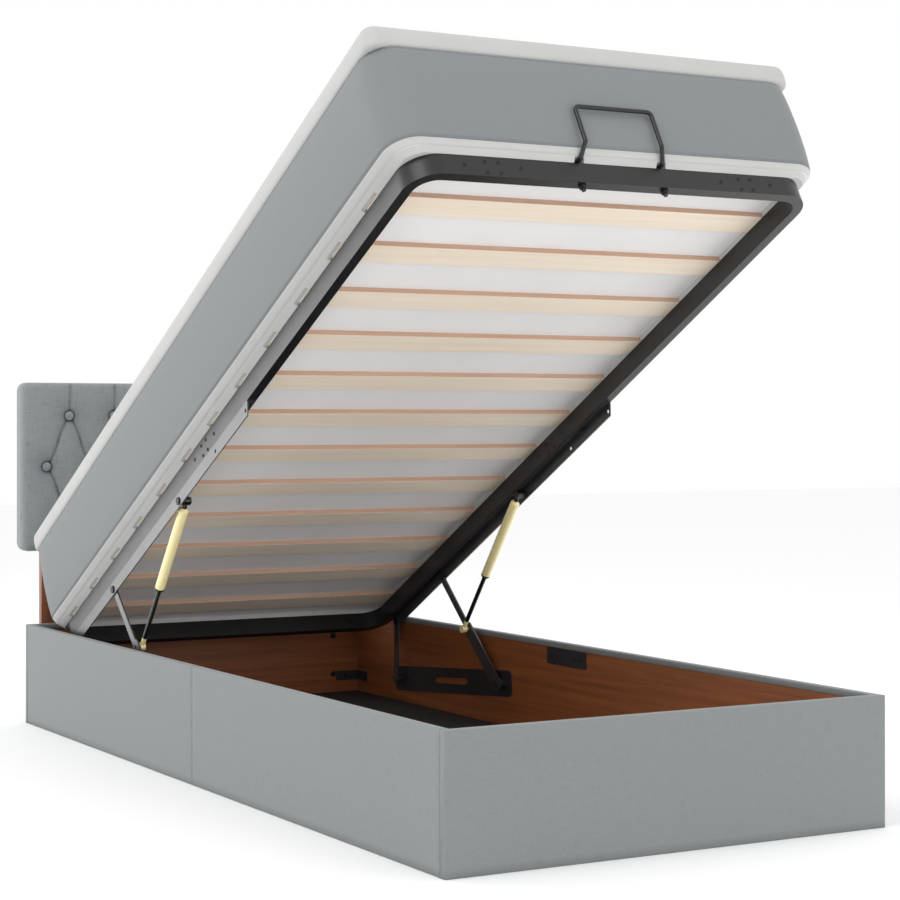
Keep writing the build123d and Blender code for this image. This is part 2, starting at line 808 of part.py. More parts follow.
def front_arm(side, hand):
    x = side * link_inner_x
    with BuildPart() as arm:
        extrude(flat_bar(x, pivot_D, pivot_A, arm_heel_radius, arm_heel_radius), amount=side * link_sheet)
        extrude(flat_bar(x, pivot_A, pivot_B, arm_tip_radius, arm_tip_radius), amount=side * link_sheet)
        extrude(
            pivot_holes(x, (pivot_D, pivot_B), pin + pin_gap), amount=side * link_sheet, mode=Mode.SUBTRACT
        )
        extrude(
            pivot_holes(x, (pivot_A,), strut_pin + pin_gap), amount=side * link_sheet, mode=Mode.SUBTRACT
        )
    save(arm, f"{hand}_front_arm")


def rear_link(side, hand):
    """The link with the bolt of its lower pivot, which ends just short of the plate's boss."""
    x = side * link_inner_x
    with BuildPart() as link:
        extrude(flat_bar(x, pivot_C, pivot_E, link_radius, link_radius), amount=side * link_sheet)
        extrude(pivot_holes(x, (pivot_C,), pin + pin_gap), amount=side * link_sheet, mode=Mode.SUBTRACT)
        extrude(pivot_holes(x, (pivot_E,), pin_head), amount=-side * pin_head_height)
    save(link, f"{hand}_rear_link")


def hinge_plate(side, hand):
    """The plate on the side board, with a boss for each lower pivot and the front arm's pin."""
    start = along(pivot_D, plate_angle, -plate_margin)
    end = along(pivot_E, plate_angle, plate_margin)
    middle = ((start[0] + end[0]) / 2, (start[1] + end[1]) / 2)
    with BuildPart() as hinge:
        with BuildSketch(Plane.YZ.offset(side * plate_inner_x)):
            with Locations(Location((middle[0], middle[1], 0), (0, 0, plate_angle))):
                RectangleRounded(plate_span + 2 * plate_margin, 2 * plate_half_width, plate_corner)
                SlotOverall(plate_slot_length, plate_slot_width, mode=Mode.SUBTRACT)
        extrude(amount=side * plate)
        extrude(
            pivot_holes(side * link_outer_x, (pivot_D, pivot_E), boss),
            amount=side * (plate_inner_x - link_outer_x),
        )
        boss_gap = pivot_holes(side * link_outer_x, (pivot_D, pivot_E), 2 * boss)
        extrude(boss_gap, amount=side * link_gap, mode=Mode.SUBTRACT)
        pin_length = link_outer_x + link_gap - pin_end_x
        extrude(pivot_holes(side * pin_end_x, (pivot_D,), pin), amount=side * pin_length)
        extrude(pivot_holes(side * pin_end_x, (pivot_D,), pin_head), amount=-side * pin_head_height)
        with Locations(*side_screws(side)):
            Cylinder(screw + pin_gap, screw_depth, mode=Mode.SUBTRACT)
    save(hinge, f"{hand}_hinge_plate")


strut_angle = degrees(atan2(pivot_A[1] - pivot_Q[1], pivot_A[0] - pivot_Q[0]))
strut_length = hypot(pivot_A[0] - pivot_Q[0], pivot_A[1] - pivot_Q[1])
rod_bore = rod + bolt_gap
barrel_bore = barrel - barrel_wall


def strut_plane(x):
    """Upright along the strut, drawn in (distance from the upper pivot, distance off its line)."""
    angle = radians(strut_angle)
    return Plane(origin=(x, pivot_Q[0], pivot_Q[1]), x_dir=(0, cos(angle), sin(angle)), z_dir=(1, 0, 0))


def eye(x, u):
    """An eye across the end of a strut, as (outline, hole) sketches at one of its faces."""
    with BuildSketch(strut_plane(x)) as outline:
        with Locations((u, 0)):
            Circle(strut_eye)
    with BuildSketch(strut_plane(x)) as hole:
        with Locations((u, 0)):
            Circle(strut_pin + pin_gap)
    return outline.sketch, hole.sketch


def strut_barrel(side, hand):
    x = side * strut_x
    axis = Axis(strut_plane(x).origin, strut_plane(x).x_dir)
    ring_face, hole = eye(x - strut_eye_width / 2, 0)
    with BuildPart() as sleeve_part:
        with BuildSketch(strut_plane(x)):
            with BuildLine():
                Polyline(
                    (barrel_floor, 0),
                    (barrel_floor, barrel_bore),
                    (barrel_length - gland_length, barrel_bore),
                    (barrel_length - gland_length, rod_bore),
                    (barrel_length, rod_bore),
                    (barrel_length, barrel - barrel_wall / 2),
                    (barrel_length - barrel_wall, barrel),
                    (barrel_neck + barrel_wall, barrel),
                    (barrel_neck, barrel - barrel_wall),
                    (barrel_neck - barrel_wall, rod),
                    (0, rod),
                    (0, 0),
                    close=True,
                )
            make_face()
        revolve(axis=axis)
        extrude(ring_face, amount=strut_eye_width)
        extrude(hole, amount=strut_eye_width, mode=Mode.SUBTRACT)
    save(sleeve_part, f"{hand}_strut_barrel")


def strut_rod(side, hand):
    """The rod with its piston and lower eye. The eye's bolt ends just short of the arm."""
    x = side * strut_x
    axis = Axis(strut_plane(x).origin, strut_plane(x).x_dir)
    inner_end = barrel_length - rod_overlap
    with BuildPart() as rod_part:
        with BuildSketch(strut_plane(x)):
            with BuildLine():
                Polyline(
                    (inner_end, 0),
                    (inner_end, barrel_bore - bolt_gap),
                    (inner_end + piston_length, barrel_bore - bolt_gap),
                    (inner_end + piston_length, rod),
                    (strut_length, rod),
                    (strut_length, 0),
                    close=True,
                )
            make_face()
        revolve(axis=axis)
        extrude(eye(x - strut_eye_width / 2, strut_length)[0], amount=strut_eye_width)
        bolt_reach = link_inner_x - link_gap - strut_x
        with BuildSketch(strut_plane(x)):
            with Locations((strut_length, 0)):
                Circle(strut_pin)
        extrude(amount=side * bolt_reach)
    save(rod_part, f"{hand}_strut_rod")


for side, hand in SIDES:
    lift_rail(side, hand)
    hinge_plate(side, hand)
    front_arm(side, hand)
    rear_link(side, hand)
    strut_barrel(side, hand)
    strut_rod(side, hand)

# The bolts through each lift rail: front arm, rear link and strut
nut_inner_x = strut_x - strut_eye_width / 2 - link_gap
spacer_x = strut_x + strut_eye_width / 2 + link_gap
bar_points = (pivot_B, pivot_C)
with BuildPart() as pivot_bolts:
    for side, hand in SIDES:
        extrude(pivot_holes(side * pin_end_x, bar_points, pin), amount=side * (tube_outer_x - pin_end_x))
        extrude(pivot_holes(side * pin_end_x, bar_points, pin_head), amount=-side * pin_head_height)
        extrude(pivot_holes(side * tube_outer_x, bar_points + (pivot_Q,), rivet), amount=side * rivet_height)
        extrude(pivot_holes(side * rail_inner_x, (pivot_Q,), pin), amount=side * rail_sheet)
        extrude(pivot_holes(side * spacer_x, (pivot_Q,), rivet), amount=side * (rail_inner_x - spacer_x))
        strut_pin_length = spacer_x - nut_inner_x
        extrude(pivot_holes(side * nut_inner_x, (pivot_Q,), strut_pin), amount=side * strut_pin_length)
        extrude(pivot_holes(side * nut_inner_x, (pivot_Q,), rivet), amount=-side * rivet_height)
save(pivot_bolts, "pivot_bolts")
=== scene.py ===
import bmesh
import bpy
import json
import numpy as np
from math import copysign, cos, exp, hypot, pi, radians, sin, sqrt
from mathutils import Matrix, Vector, noise


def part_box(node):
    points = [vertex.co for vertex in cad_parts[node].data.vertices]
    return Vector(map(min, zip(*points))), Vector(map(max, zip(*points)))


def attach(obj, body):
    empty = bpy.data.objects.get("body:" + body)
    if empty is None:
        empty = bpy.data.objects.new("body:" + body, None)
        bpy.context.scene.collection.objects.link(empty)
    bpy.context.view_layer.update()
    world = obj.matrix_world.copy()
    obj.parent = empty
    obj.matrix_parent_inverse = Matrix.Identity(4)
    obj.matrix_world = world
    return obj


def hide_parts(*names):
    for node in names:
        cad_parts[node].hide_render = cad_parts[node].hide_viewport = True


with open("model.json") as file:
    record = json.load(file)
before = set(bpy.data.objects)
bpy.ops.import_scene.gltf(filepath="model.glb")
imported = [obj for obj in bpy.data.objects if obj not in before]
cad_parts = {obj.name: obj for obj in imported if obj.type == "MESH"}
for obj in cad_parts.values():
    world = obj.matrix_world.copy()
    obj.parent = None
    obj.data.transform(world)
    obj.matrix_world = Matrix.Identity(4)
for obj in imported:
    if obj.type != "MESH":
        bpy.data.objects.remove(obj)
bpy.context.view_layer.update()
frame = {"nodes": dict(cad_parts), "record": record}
cadNodes = frame["nodes"]

# The lifted platform: where the mattress's foot end meets the tube tops, and its tilt in degrees
deck = {"y": -0.88068, "z": 1.17585, "lift": 28.81}
deckCos = cos(radians(deck["lift"]))
deckSin = sin(radians(deck["lift"]))
print("bed: frame loaded")


# x runs across the bed, v from the mattress's foot end to its head end, n up from the tube tops
def fromDeck(x, v, n):
    return (x, deck["y"] + v * deckCos + n * deckSin, deck["z"] - v * deckSin + n * deckCos)


def hexColour(code):
    parts = [int(code[i:i + 2], 16) / 255 for i in (0, 2, 4)]
    return [c / 12.92 if c <= 0.04045 else ((c + 0.055) / 1.055) ** 2.4 for c in parts] + [1.0]


# Settings are the node's own or values for its inputs. A link comes from an output, or from a node's first output.
def addNode(tree, kind, settings=None, links=None):
    node = tree.nodes.new(kind)
    for key, value in (settings or {}).items():
        if isinstance(key, str) and hasattr(node, key):
            setattr(node, key, value)
        else:
            node.inputs[key].default_value = value
    for key, source in (links or {}).items():
        tree.links.new(source.outputs[0] if isinstance(source, bpy.types.Node) else source, node.inputs[key])
    return node


def startMaterial(name):
    material = bpy.data.materials.new(name)
    material.use_nodes = True
    material.node_tree.nodes.clear()
    return material, material.node_tree


def setStops(ramp, stops):
    for k, (position, code) in enumerate(stops):
        stop = ramp.color_ramp.elements[k] if k < 2 else ramp.color_ramp.elements.new(position)
        stop.position, stop.color = position, hexColour(code)


# Relief is the source of the bump's height, with its strength and its distance in metres
def finishMaterial(material, relief, settings, links):
    tree = material.node_tree
    bump = addNode(tree, "ShaderNodeBump", {"Strength": relief[1], "Distance": relief[2]}, {"Height": relief[0]})
    shader = addNode(tree, "ShaderNodeBsdfPrincipled", settings, {"Normal": bump, **links})
    addNode(tree, "ShaderNodeOutputMaterial", links={"Surface": shader})
    return material


# Woven polyester with a linen look: a plain weave with slubs, so the grey is faintly streaked both ways.
# Real threads are 0.7 mm apart; they are drawn 2.6 mm apart, the finest that still shows in the render.
def wovenPolyester(name, code, look):
    material, tree = startMaterial(name)
    if look["onCad"]:
        place = addNode(tree, "ShaderNodeTexCoord").outputs["Object"]
    else:
        place = addNode(tree, "ShaderNodeUVMap", {"uv_map": "cloth"})
    waveScale = 2 * pi / look["thread"] / 20  # a wave texture turns 20 radians in one unit
    long, wide = 1 / look["slubLong"], 1 / look["slubWide"]
    threads, slubs = {}, {}
    for k, (bands, scale) in enumerate((("X", (long, wide, long)), ("Y", (wide, long, wide)))):
        wave = addNode(tree, "ShaderNodeTexWave", {
            "bands_direction": bands, "Scale": waveScale, "Distortion": 0.5, "Detail": 1.0}, {"Vector": place})
        stretched = addNode(tree, "ShaderNodeMapping", {"Scale": scale}, {"Vector": place})
        slubs[k] = addNode(tree, "ShaderNodeTexNoise", {"Scale": 1.0, "Detail": 3.0}, {"Vector": stretched})
        threads[k] = wave.outputs["Fac"]
    weave = addNode(tree, "ShaderNodeMath", {"operation": "MULTIPLY"}, threads)
    streaks = addNode(tree, "ShaderNodeMath", {"operation": "ADD"}, slubs)
    tone = addNode(tree, "ShaderNodeMath", {"operation": "MULTIPLY_ADD", 1: look["weaveTone"]}, {0: weave, 2: streaks})
    colour = addNode(tree, "ShaderNodeValToRGB", links={"Fac": tone})
    setStops(colour, ((0.72, look["shade"]), (1.0, code)))
    # Painted shade: where the fold attribute is set, the cloth's colour is multiplied by the darker painted-shade
    # colour
    if look.get("paintedShadeColour"):
        paintedShadeAmount = addNode(tree, "ShaderNodeAttribute", {"attribute_name": "fold"})
        pressed = addNode(tree, "ShaderNodeMix", {
            "data_type": "RGBA", "blend_type": "MULTIPLY", 7: hexColour(look["paintedShadeColour"])}, {
            0: paintedShadeAmount.outputs["Fac"], 6: colour})
        colour = pressed.outputs[2]
    return finishMaterial(material, (tone, look["bump"], 0.0006), {
        "Roughness": 0.92, "Sheen Weight": 0.12, "Sheen Roughness": 0.5, "Specular IOR Level": 0.25}, {
        "Base Color": colour})


# Knitted polyester ticking: brushed white cloth, soft and without gloss, with a fine quilt grain. The band's and the
# topper's copies are drawn in darker greys that hold painted shade.
def knittedTicking(name, code, shade):
    material, tree = startMaterial(name)
    place = addNode(tree, "ShaderNodeUVMap", {"uv_map": "cloth"})
    soft = addNode(tree, "ShaderNodeTexNoise", {"Scale": 9.0, "Detail": 2.0}, {"Vector": place})
    loops = addNode(tree, "ShaderNodeTexVoronoi", {"Scale": 330.0}, {"Vector": place})  # loops 3 mm apart, to show
    colour = addNode(tree, "ShaderNodeValToRGB", links={"Fac": soft})
    setStops(colour, ((0.25, shade), (0.75, code)))
    return finishMaterial(material, (loops, 0.25, 0.0005), {
        "Roughness": 0.95, "Sheen Weight": 0.1, "Specular IOR Level": 0.2}, {"Base Color": colour})


# Laminated particle board, birch, pine and plywood: long soft grain, satin where it is sealed.
def sealedWood(name, code, shade, axis, long, wide, roughness):
    material, tree = startMaterial(name)
    stretch = [1 / wide] * 3
    stretch[axis] = 1 / long
    scaled = addNode(tree, "ShaderNodeMapping", {"Scale": stretch}, {
        "Vector": addNode(tree, "ShaderNodeTexCoord").outputs["Object"]})
    figure = addNode(tree, "ShaderNodeTexNoise", {"Scale": 1.0, "Detail": 5.0, "Roughness": 0.6, "Distortion": 0.4}, {
        "Vector": scaled})
    colour = addNode(tree, "ShaderNodeValToRGB", links={"Fac": figure})
    setStops(colour, ((0.3, shade), (0.62, code)))
    return finishMaterial(material, (figure, 0.15, 0.0004), {"Roughness": roughness}, {"Base Color": colour})


# Powder-coated or painted steel: an even film with a fine orange-peel skin, drawn 2.4 mm across.
def coatedSteel(name, code, worn, roughness, peel, coat):
    material, tree = startMaterial(name)
    place = addNode(tree, "ShaderNodeTexCoord").outputs["Object"]
    skin = addNode(tree, "ShaderNodeTexNoise", {"Scale": 1 / 0.0024, "Detail": 1.0}, {"Vector": place})
    rub = addNode(tree, "ShaderNodeTexNoise", {"Scale": 14.0, "Detail": 3.0}, {"Vector": place})
    spread = addNode(tree, "ShaderNodeMapRange", {
        "To Min": roughness - 0.05, "To Max": roughness + 0.07}, {"Value": rub})
    colour = addNode(tree, "ShaderNodeValToRGB", links={"Fac": rub})
    setStops(colour, ((0.0, code), (1.0, worn)))
    return finishMaterial(material, (skin, peel, 0.0003), {
        "Coat Weight": coat, "Coat Roughness": 0.25}, {"Base Color": colour, "Roughness": spread})


greyCloth = {
    "onCad": False, "thread": 0.0026, "slubLong": 0.022, "slubWide": 0.0015, "weaveTone": 0.14, "bump": 0.45,
    "shade": "7D8182",
}
panelCloth = wovenPolyester("wovenPolyesterPanel", "858989", greyCloth)
# The headboard's cloth carries painted shade in its pleats' creases and round its buttons, in the darker colour given
# here
headboardCloth = wovenPolyester("wovenPolyesterHeadboard", "8C9192", dict(
    greyCloth, shade="71777A", slubLong=0.035, paintedShadeColour="565859"))
borderCloth = wovenPolyester("wovenPolyesterBorder", "808485", dict(greyCloth, bump=0.3, shade="7C8081"))
whiteTicking = knittedTicking("knittedPolyesterWhite", "EFEEED", "EBEAE9")
# Painted shade: the band under the seam is the same white knitted ticking as the underside, drawn in a darker grey
paintedShadeBandTicking = knittedTicking("knittedPolyesterBandPaintedShade", "C4C4C3", "BEBEBD")
# Painted shade: the topper is white knitted ticking, drawn in a darker grey
paintedShadeTopperCloth = knittedTicking("knittedPolyesterTopperPaintedShade", "BEBEBD", "B9B9B8")
buttonCloth = wovenPolyester("wovenPolyesterButtons", "868D90", dict(greyCloth, onCad=True, shade="6C7275"))
borderThread = wovenPolyester("polyesterThread", "7B8284", dict(greyCloth, onCad=True, shade="6C7274"))

# Grain runs along an axis of the bed (0 across, 1 along, 2 up), with its streaks' length and width in metres
laminateGrain = {"long": 0.35, "wide": 0.012, "roughness": 0.42}
brownLaminateLong = sealedWood("laminatedParticleBoardLong", "9A5A31", "7C4626", 1, **laminateGrain)
brownLaminateWide = sealedWood("laminatedParticleBoardWide", "9A5A31", "7C4626", 0, **laminateGrain)
blackBoard = sealedWood("blackFibreBoard", "242322", "161514", 1, long=0.02, wide=0.012, roughness=0.75)
sawnPine = sealedWood("sawnPine", "CDAA7C", "A98455", 1, long=0.4, wide=0.01, roughness=0.7)
plywoodBack = sealedWood("poplarPlywood", "D9C3A0", "C7AC84", 0, long=0.4, wide=0.011, roughness=0.65)
stainedPlywood = sealedWood("stainedPlywood", "8F5A3A", "6E4027", 2, long=0.3, wide=0.009, roughness=0.5)
birchFace = sealedWood("birchPlywoodFace", "F5E8D5", "EFDFC8", 0, long=0.5, wide=0.012, roughness=0.55)
birchEdge = sealedWood("birchPlywoodEdge", "CFAA92", "BE9780", 0, long=0.2, wide=0.0018, roughness=0.65)

blackCoat = coatedSteel("blackPowderCoat", "090A0B", "151617", roughness=0.4, peel=0.12, coat=0.15)
railCoat = coatedSteel("darkPowderCoat", "2B2C2F", "3A3B3E", roughness=0.33, peel=0.12, coat=0.35)
linkCoat = coatedSteel("linkPowderCoat", "2E2F32", "404245", roughness=0.32, peel=0.1, coat=0.35)
bracketCoat = coatedSteel("blackZincPlate", "202124", "303236", roughness=0.45, peel=0.2, coat=0.0)
screwCoat = coatedSteel("blackOxideScrew", "050505", "0A0A0A", roughness=0.5, peel=0.1, coat=0.0)
print("bed: materials made")

# The gas struts: the upper and lower eye as (y, z), and where the colours change along the strut from the upper one
strutLook = {
    "eye": (0.12988, 0.55845), "foot": (0.37749, 0.23649), "neck": 0.019, "gland": 0.236, "lowerEye": 0.380,
    "cream": "FCEFB4", "dark": "141415",
}


# Their cylinders are stoved enamel, cream and fairly glossy, between a black upper end and a black gland
def strutEnamel(name, look):
    material, tree = startMaterial(name)
    place = addNode(tree, "ShaderNodeTexCoord").outputs["Object"]
    run = (look["foot"][0] - look["eye"][0], look["foot"][1] - look["eye"][1])
    reach = hypot(*run)
    fromEye = addNode(tree, "ShaderNodeVectorMath", {"operation": "SUBTRACT", 1: (0, *look["eye"])}, {0: place})
    along = addNode(tree, "ShaderNodeVectorMath", {"operation": "DOT_PRODUCT", 1: (0, run[0] / reach, run[1] / reach)}, {
        0: fromEye})
    bands = addNode(tree, "ShaderNodeMapRange", {"From Min": 0.0, "From Max": reach}, {"Value": along.outputs["Value"]})
    colour = addNode(tree, "ShaderNodeValToRGB", links={"Fac": bands})
    colour.color_ramp.interpolation = "CONSTANT"
    setStops(colour, (
        (0.0, look["dark"]), (look["neck"] / reach, look["cream"]),
        (look["gland"] / reach, look["dark"]), (look["lowerEye"] / reach, look["cream"])))
    peel = addNode(tree, "ShaderNodeTexNoise", {"Scale": 400.0, "Detail": 1.0}, {"Vector": place})
    return finishMaterial(material, (peel, 0.05, 0.0003), {
        "Roughness": 0.3, "Coat Weight": 0.4, "Coat Roughness": 0.2}, {"Base Color": colour})


strutPaint = strutEnamel("creamStrutEnamel", strutLook)
cadFinish = {
    "brown_board": brownLaminateLong, "storage_floor_board": blackBoard, "pine": sawnPine, "leg_plywood": stainedPlywood,
    "black_frame": blackCoat, "rail_steel": railCoat, "link_steel": linkCoat, "dark_bracket": bracketCoat,
    "black_fasteners": screwCoat, "strut_sleeve": strutPaint, "strut_rod": strutPaint, "slat_birch": birchFace,
    "panel_fabric": panelCloth, "headboard_fabric": headboardCloth, "mattress_border": borderCloth,
    "topper_fabric": paintedShadeTopperCloth,
}
crossGrain = {"foot_board": brownLaminateWide, "head_board": brownLaminateWide, "headboard_core": plywoodBack}
slotOf = {part["node"]: part["material_slot"] for part in frame["record"]["subparts"]}
for nodeName, cadNode in cadNodes.items():
    finish = crossGrain.get(nodeName, cadFinish[slotOf[nodeName]])
    for materialSlot in cadNode.material_slots:
        materialSlot.material = finish
print("bed: CAD nodes finished")


def linkPiece(name, data):
    piece = bpy.data.objects.new(name, data)
    bpy.context.scene.collection.objects.link(piece)
    return piece


# Cloth is the place of each point on the flat cloth, in metres
def newPiece(name, points, faces, materials, cloth=None, faceMaterials=None):
    mesh = bpy.data.meshes.new(name)
    mesh.from_pydata([tuple(p) for p in points], [], faces)
    for material in materials:
        mesh.materials.append(material)
    if faceMaterials is not None:
        mesh.polygons.foreach_set("material_index", faceMaterials)
    mesh.shade_smooth()
    if cloth is not None:
        layer = mesh.uv_layers.new(name="cloth")
        corner = np.empty(len(mesh.loops), dtype=np.int32)
        mesh.loops.foreach_get("vertex_index", corner)
        layer.data.foreach_set("uv", np.asarray(cloth, dtype=np.float32)[corner].ravel())
    mesh.update()
    return linkPiece(name, mesh)


def outwardFaces(piece):
    shape = bmesh.new()
    shape.from_mesh(piece.data)
    bmesh.ops.recalc_face_normals(shape, faces=shape.faces)
    shape.to_mesh(piece.data)
    shape.free()


def arcPoints(radius, degrees):
    return [(radius * cos(radians(turn)), radius * sin(radians(turn))) for turn in degrees]


def roundedOutline(halfX, halfY, corner, turns):
    return [
        (sx * (halfX - corner) + x, sy * (halfY - corner) + y)
        for sx, sy, first in ((1, 1, 0), (-1, 1, 90), (-1, -1, 180), (1, -1, 270))
        for x, y in arcPoints(corner, [first + turn for turn in turns])]


# Places across a grid, closer together where the corners turn
def gridPlaces(halves, corner, steps, pitch):
    arc = np.linspace(0, corner, steps + 1)[:-1]
    lines = []
    for half in halves:
        straight = np.linspace(-half + corner, half - corner, max(2, int((2 * half - 2 * corner) / pitch)))
        lines.append(np.concatenate([-half + arc, straight, (half - arc)[::-1]]))
    return np.meshgrid(*lines, indexing="ij")


# Draws the points of a square grid's corners in to a round corner
def roundedPlace(x, v, halfX, halfV, corner):
    dx = np.abs(x) - (halfX - corner)
    dv = np.abs(v) - (halfV - corner)
    inCorner = (dx > 0) & (dv > 0)
    share = np.maximum(dx, dv) / np.maximum(np.hypot(dx, dv), 1e-9)
    return (
        np.where(inCorner, np.sign(x) * (halfX - corner + dx * share), x),
        np.where(inCorner, np.sign(v) * (halfV - corner + dv * share), v))


# A grid's faces, and its border in turn
def gridFaces(ids):
    return list(zip(ids[:-1, :-1].ravel(), ids[1:, :-1].ravel(), ids[1:, 1:].ravel(), ids[:-1, 1:].ravel()))


def gridBorder(nx, nv):
    border = [(i, 0) for i in range(nx - 1)] + [(nx - 1, j) for j in range(nv - 1)]
    return border + [(i, nv - 1) for i in range(nx - 1, 0, -1)] + [(0, j) for j in range(nv - 1, 0, -1)]


slab = {"cornerSteps": 7, "leastCorner": 0.004, "sideCloth": 3.0}  # the sides' cloth lies 3 m off the caps' own


# A slab with rounded corners in plan, made of one grid for each cap and rings between them.
# Levels run from the bottom up: (height, inset) or (height, inset at the sides, inset at the ends).
# The top cap gets its height from a function.
def softSlab(size, levels, topHeight, place, swell=None):
    halfX, halfV, corner = size["width"] / 2, size["length"] / 2, size["corner"]
    gridX, gridV = gridPlaces((halfX, halfV), corner, slab["cornerSteps"], size["pitch"])
    nx, nv = gridX.shape
    border = gridBorder(nx, nv)

    def shrink(level):
        insetX, insetV = level[1], level[-1]
        sx = gridX * (halfX - insetX) / halfX
        sv = gridV * (halfV - insetV) / halfV
        return roundedPlace(sx, sv, halfX - insetX, halfV - insetV, max(corner - insetX, slab["leastCorner"]))

    bx, bv = shrink(levels[0])
    ids = np.arange(nx * nv).reshape(nx, nv)
    cloth = list(zip(bx.ravel(), bv.ravel()))
    points = [(x, v, levels[0][0]) for x, v in cloth]
    faces = [(a, d, c, b) for a, b, c, d in gridFaces(ids)]
    band = [0] * len(faces)
    loop = [ids[i, j] for i, j in border]
    run = [0.0]
    for (i, j), (k, m) in zip(border, border[1:]):
        run.append(run[-1] + hypot(gridX[k, m] - gridX[i, j], gridV[k, m] - gridV[i, j]))
    for levelIndex, level in enumerate(levels[1:], 1):
        height = level[0]
        lx, lv = shrink(level)
        nextLoop = []
        for step, (i, j) in enumerate(border):
            x, v = lx[i, j], lv[i, j]
            if swell:
                x, v = swell(x, v, height, run[step])
            nextLoop.append(len(points))
            points.append((x, v, height))
            cloth.append((run[step], height + slab["sideCloth"]))
        if levelIndex == len(levels) - 1:
            topIds = np.full((nx, nv), -1)
            for step, (i, j) in enumerate(border):
                topIds[i, j] = nextLoop[step]
            for i, j in np.argwhere(topIds < 0):
                topIds[i, j] = len(points)
                points.append((lx[i, j], lv[i, j], topHeight(lx[i, j], lv[i, j])))
                cloth.append((lx[i, j], lv[i, j]))
            faces += gridFaces(topIds)
            band += [len(levels)] * ((nx - 1) * (nv - 1))
        for step in range(len(border)):
            after = (step + 1) % len(border)
            faces.append((loop[step], loop[after], nextLoop[after], nextLoop[step]))
            band.append(levelIndex)
        loop = nextLoop
    return [place(*p) for p in points], faces, cloth, band


# The band under the seam slopes in from the side by rimSide and from the ends by rimEnd; the border above swells
mattress = {
    "width": 0.898, "length": 1.9755, "corner": 0.058, "pitch": 0.025, "foot": 0.0106, "seam": 0.0236, "top": 0.2088,
    "rimBottom": 0.0003, "rimSide": 0.031, "rimEnd": 0.015, "rimWide": 0.035, "seamInset": 0.0015, "crown": 0.006,
    "ridge": 0.0012, "bulge": 0.0022, "bandWaves": (26.0, 40.0), "borderWaves": (3.0, 9.0), "fade": 0.006,
}
slats = {
    "count": 12, "first": 0.1435, "pitch": 0.1531636, "width": 0.055, "long": 0.832, "thick": 0.0106, "corner": 0.006,
    "edge": 0.0013, "edgeFacing": 0.75,
}
mattressMiddle = mattress["length"] / 2
halfWidth = mattress["width"] / 2
foot, seam, top = mattress["foot"], mattress["seam"], mattress["top"]


def onMattress(x, v, n):
    return fromDeck(x, v + mattressMiddle, n)


# Faint waves in the cloth, close together on the band and long on the border
def bandRidge(x, v, height, run):
    onBand = height < seam - 0.001
    alongWaves, upWaves = mattress["bandWaves"] if onBand else mattress["borderWaves"]
    wave = mattress["ridge"] * noise.noise(Vector((run * alongWaves, height * upWaves, 0.3)))
    share = max(0.0, min(1.0, (height - foot) / mattress["fade"])) if onBand else 0.5
    return x + copysign(wave * share, x), v + copysign(wave * share, v)


def bevelAt(height):
    share = (seam - height) / (seam - mattress["rimBottom"])
    bulge = mattress["bulge"] * sin(pi * min(1.0, max(0.0, share)))
    inset = mattress["seamInset"]
    side = inset + (mattress["rimSide"] - inset) * share - bulge
    end = inset + (mattress["rimEnd"] - inset) * share - bulge / 2
    return height, side, end


crownShares = [  # how far up the border, and the share of the swelling there
    (0.035, 0.22), (0.07, 0.4), (0.16, 0.67), (0.25, 0.85), (0.37, 0.96), (0.5, 1.0), (0.63, 0.96), (0.75, 0.85),
    (0.84, 0.67), (0.93, 0.4), (0.97, 0.2),
]
mattressLevels = [bevelAt(h) for h in (foot, foot + 0.004, foot + 0.008, seam - 0.0025, seam - 0.0012)]
mattressLevels += [(seam - 0.0005, 0.0034), (seam + 0.0005, 0.0034), (seam + 0.0016, 0.0012)]
whiteLevels = len(mattressLevels) - 2
mattressLevels += [(seam + (top - seam) * up, mattress["seamInset"] - mattress["crown"] * out) for up, out in crownShares]
mattressLevels += [(top - 0.0016, 0.0012), (top - 0.0005, 0.0034), (top, 0.007)]
points, faces, cloth, band = softSlab(mattress, mattressLevels, lambda x, v: top, onMattress, bandRidge)
mattressPiece = newPiece(
    "mattressBody", points, faces, [whiteTicking, paintedShadeBandTicking, borderCloth], cloth,
    [0 if b == 0 else 1 if b <= whiteLevels else 2 for b in band])
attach(mattressPiece, "platform")
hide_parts("mattress")


# Faces between closed sections with the same number of points, with a cap at each end
def sweepFaces(first, count, rings):
    faces = []
    for step in range(rings - 1):
        a, b = first + step * count, first + (step + 1) * count
        faces += [(a + k, a + (k + 1) % count, b + (k + 1) % count, b + k) for k in range(count)]
    faces.append(tuple(range(first, first + count)))
    faces.append(tuple(range(first + (rings - 1) * count, first + rings * count))[::-1])
    return faces


# The rim under the band's edge rests on the ring. It is drawn up over each slat's end and the handle,
# so the birch shows there as a short dash.
rim = {
    "innerX": 0.398, "slatEnd": 0.4163, "slatLift": 0.0052, "handleX": 0.086, "handleHalf": 0.009, "handleLift": 0.0095,
    "slope": 0.0012, "cornerSteps": 8,
}
rimLow, rimTop = mattress["rimBottom"], foot + 0.0002
rimHeights = [rimLow + (rimTop - rimLow) * k / 4 for k in range(5)]
cornerX, cornerV = halfWidth - mattress["corner"], mattress["corner"]
farCornerV = mattress["length"] - cornerV
points, faces, cloth = [], [], []


def rimStrip(stations, place):
    first = len(points)
    for run, section in stations:
        for across, n in section:
            points.append(place(across, run, n))
            cloth.append((run, across + n))
    faces.extend(sweepFaces(first, len(stations[0][1]), len(stations)))


def sideSection(inner, low):
    return [(inner, rimTop), (inner, low)] + [(halfWidth - bevelAt(h)[1], h) for h in np.maximum(rimHeights, low)]


def endSection(low):
    wide = mattress["rimWide"]
    return [(wide, rimTop), (wide, low)] + [(bevelAt(h)[2], h) for h in np.maximum(rimHeights, low)]


